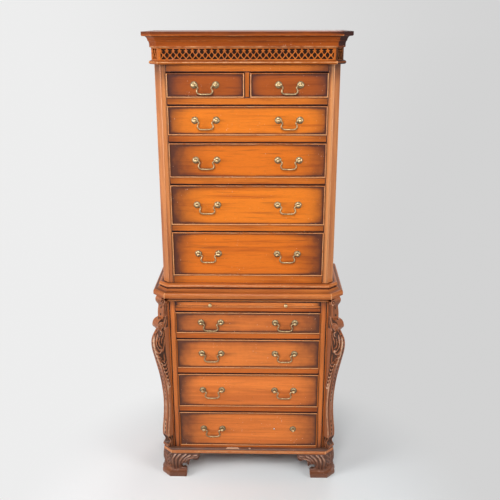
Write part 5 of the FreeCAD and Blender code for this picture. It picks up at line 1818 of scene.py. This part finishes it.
@dataclass(frozen=True)
class BracketFeet:
    """The four bracket feet, with leaves that fan out from the ankle over each wing."""

    wing: float = 105.5
    height: float = 105.0
    side_reach: float = 21.7
    corner_reach: float = 22.6
    front_reach: float = 29.0

    PROFILE = ((0, 0), (0.94, 0), (1.0, 0.10), (0.94, 0.20), (0.46, 0.31, -0.81), (0.66, 0.62, -2.85),
               (0.60, 0.96, 1.23), (0.52, 1.0))
    SAWN = ((0, 0.97), (0.15, 0.71), (0.28, 0.75), (0.38, 0.74), (0.48, 0.46), (0.54, 0.53), (0.66, 0.56),
            (0.74, 0.47), (0.75, 0.38), (0.70, 0.325), (0.62, 0.335), (0.545, 0.28), (0.53, 0.20),
            (0.56, 0))
    FAN = (
        ((102, 24), (102, 62), (99, 86), (91, 101)), ((93, 30), (91, 66), (87, 86), (77, 101)),
        ((83, 36), (80, 66), (73, 84), (58, 101)), ((73, 56), (68, 71), (58, 84), (40, 97)),
        ((64, 64), (56, 74), (44, 82), (30, 86)), ((36, 92), (26, 95), (14, 97)),
    )
    LOBES = (
        ((48, 66), (42, 72), (34, 76)), ((26, 84), (17, 86), (8, 93)),
        ((62, 61), (70, 57), (78, 48), (78, 38), (70, 31), (61, 32)),
        ((86, 26), (88, 20), (94, 19), (99, 22)),
    )

    def profile(self, z: np.ndarray) -> np.ndarray:
        """How far the foot stands out at a height, as a share of its reach."""
        drawn = np.array([point for point, _ in bent(self.PROFILE[1:])])
        return np.interp(z / self.height, drawn[:, 1], drawn[:, 0])

    def face(self, form: Form, loop: Sequence, strokes: Sequence[Stroke], start: tuple, end: tuple,
             start_out: tuple, end_out: tuple, mirror: int) -> None:
        """Adds a carved plate of a foot.

        Args:
            form: The form that gets it.
            loop: Its outline, along and up.
            strokes: Its carving.
            start: The plan point at along = 0.
            end: The plan point at the plate's full length.
            start_out: How the outline moves out at the start at full reach.
            end_out: The same at the end.
            mirror: -1 for the left feet.
        """
        flat, faces = triangulated([loop], 2.0)
        rim, up = len(loop), flat[:, 1]
        start, end = np.array(start, float), np.array(end, float)
        start_out, end_out = np.array(start_out, float), np.array(end_out, float)
        length = float(np.linalg.norm(end - start))
        share, way = flat[:, 0] / length, (end - start) / length
        off = np.array((way[1], -way[0]))
        if off @ (start_out + end_out) < 0:
            off = -off
        reach = off @ start_out * (1 - share) + off @ end_out * share
        slide = way @ start_out * np.clip(1 - share / 0.4, 0, 1) + way @ end_out * ramp(share, 0.6, 0.4)
        relief = carved(flat, strokes)
        relief[:rim] *= 0.3
        out = self.profile(up)
        back = start + (end - start) * share[:, None]
        front = back + off * (out * reach + relief)[:, None] + way * slide[:, None] * out[:, None]
        # Dark between the ribs, grime and painted shade, and pale on them, rubbing and painted highlight,
        # both weaker low down.
        hollow = -0.62 * (1 - np.clip(relief / 2.0, 0, 1)) * ramp(up, 24, 10)
        high = np.clip((up - 30) / 60, 0.15, 1)
        tone = np.where(relief > 0.05, relief_tone(relief - 1.7, 1.5, 1.8) * high, hollow)
        turn = (mirror, 1, 1)
        plate(form, np.c_[front, up] * turn, np.c_[back, up] * turn, faces, [loop], (tone, -0.6))

    def wing_loop(self) -> np.ndarray:
        """The outline of a wing, from its tip along the sawn edge, and back over the top."""
        sawn = flowing([(self.wing * share, self.height * rise) for share, rise in self.SAWN], 2.0)
        sawn[:, 1] = np.clip(sawn[:, 1], 0, self.height * 0.985)
        foot = [(x, 0) for x in np.linspace(sawn[-1, 0], self.wing, 18)[1:]]
        sawn[-1, 1] = 0
        end = [(self.wing, z) for z in np.linspace(0, self.height, 44)[1:]]
        top = [(x, self.height) for x in np.linspace(self.wing, 0.5, 44)[1:]]
        return np.r_[sawn, foot, end, top]

    def wing_strokes(self) -> list:
        """The fan and the lobes of a wing."""
        fan = [Stroke(line, (1.6, 3.0, 3.8, 3.6), 3.4) for line in self.FAN]
        return fan + [Stroke(line, (2.0, 3.2, 2.2), 2.6) for line in self.LOBES]

    def cant_strokes(self, wide: float) -> list:
        """The upright leaf of a cant."""
        middle = wide / 2
        strokes = [Stroke(((middle, 22), (middle, 60), (middle, 98)), (3.0, 5.0, 3.0), 3.0, 1.4)]
        for side in (-1, 1):
            for z in (30, 48, 66, 82):
                strokes.append(Stroke(((middle + side * 3, z), (middle + side * 11, z + 6),
                                       (middle + side * 18, z + 18)), (2.4, 4.6, 2.4), 2.6, 1.0))
        return strokes

    def build(self) -> None:
        """Makes the front feet and the back feet."""
        plan, outer = LOWER_PLAN, LOWER_PLAN.spread(self.side_reach, self.corner_reach, self.front_reach)
        front, rear = Form(), Form()
        mitre = (self.corner_reach, -self.front_reach)
        turn = (self.side_reach, outer.cant_end - plan.cant_end)
        loop, strokes = self.wing_loop(), self.wing_strokes()
        wide = (plan.half - plan.corner) * math.sqrt(2)
        levels = np.linspace(0, self.height, 44)
        cant = [(x, 0) for x in np.linspace(0, wide, 20)] + [(wide, z) for z in levels[1:]]
        cant += [(x, self.height) for x in np.linspace(wide, 0, 20)[1:]] + [(0, z) for z in levels[-2:0:-1]]
        for mirror in (-1, 1):
            corner, end = (plan.corner, plan.front), (plan.half, plan.cant_end)
            self.face(front, loop, strokes, (plan.corner - self.wing, plan.front), corner,
                      (0, -self.front_reach), mitre, mirror)
            self.face(front, cant, self.cant_strokes(wide), corner, end, mitre, turn, mirror)
            self.face(front, loop, strokes, (plan.half, plan.cant_end + self.wing), end,
                      (self.side_reach, 0), turn, mirror)
            self.face(rear, loop, strokes, (plan.half, plan.back - self.wing), (plan.half, plan.back),
                      (self.side_reach, 0), (self.side_reach, 0), -mirror)
        for form, node, slot in ((front, "front_feet", "carved_wood"), (rear, "back_feet", "back_wood")):
            ease_planks(form, [solid for solid in planks(node) if len(solid) < 20], 0.8, 0.2)
            form.piece(f"{node}_carved", "carcase", [FOOT_WOOD], slot, [node])


# Studio


@dataclass
class Studio:
    """The camera, the lamps and the paper round the chest."""

    place: tuple = (0.0624, -2.58807, 1.7981)
    yaw: float = -0.021887
    pitch: float = 0.321043
    roll: float = -0.0025617
    lens: float = 49.644

    def build(self) -> None:
        """Sets up the whole studio."""
        self.camera()
        self.paper()
        self.lamp("left_softbox", (-2.6, -1.4, 1.4), (0, 0, 0.6), 1.3, 66)
        self.lamp("right_softbox", (2.6, -1.7, 1.5), (0, 0, 0.6), 1.3, 47)
        self.lamp("front_softbox", (-0.3, -3.3, 3.5), (0, 0, 0.5), 1.4, 92)
        self.lamp("back_softbox", (0.9, 2.6, 3.4), (0, 0, 0.9), 1.2, 26)
        bpy.context.scene.world = Paper().sky((0.10, 0.104, 0.11))
        bpy.context.scene.view_settings.view_transform = "Standard"

    def camera(self) -> None:
        """Makes the camera, at the angle of the picture."""
        sin, cos = math.sin, math.cos
        ahead = Vector((sin(self.yaw) * cos(self.pitch), cos(self.yaw) * cos(self.pitch), -sin(self.pitch)))
        level = Vector((cos(self.yaw), -sin(self.yaw), 0))
        up = level.cross(ahead)
        right = level * cos(self.roll) + up * sin(self.roll)
        upright = up * cos(self.roll) - level * sin(self.roll)
        data = bpy.data.cameras.new("camera")
        data.lens = self.lens
        data.sensor_width = 36.0
        data.clip_start = 0.05
        camera = placed("camera", data)
        camera.matrix_world = Matrix((right, upright, -ahead)).transposed().to_4x4()
        camera.location = self.place
        bpy.context.scene.camera = camera

    def lamp(self, name: str, place: tuple, at: tuple, size: float, power: float) -> None:
        """Makes a softbox.

        Args:
            name: Its name.
            place: Where it stands, in metres.
            at: What it points at.
            size: Its side.
            power: Its watts.
        """
        data = bpy.data.lights.new(name, "AREA")
        data.shape = "SQUARE"
        data.size = size
        data.energy = power
        lamp = placed(name, data)
        lamp.visible_camera = False
        lamp.location = place
        lamp.rotation_euler = (Vector(at) - Vector(place)).to_track_quat("-Z", "Y").to_euler()

    def paper(self) -> None:
        """Lays the floor."""
        mesh = bpy.data.meshes.new("paper")
        mesh.from_pydata([(-80, -80, 0), (80, -80, 0), (80, 80, 0), (-80, 80, 0)], [], [(0, 1, 2, 3)])
        mesh.materials.append(Paper().made())
        paper = placed("studio_paper", mesh)


def main() -> None:
    """Builds the chest and its studio."""
    logging.basicConfig(level=logging.INFO, format="%(message)s")
    Studio().build()
    carcase()
    mouldings()
    Fret().build()
    drawers()
    BrushingSlide().build()
    ScrollCorner().build()
    BracketFeet().build()


if __name__ == "__main__":
    main()
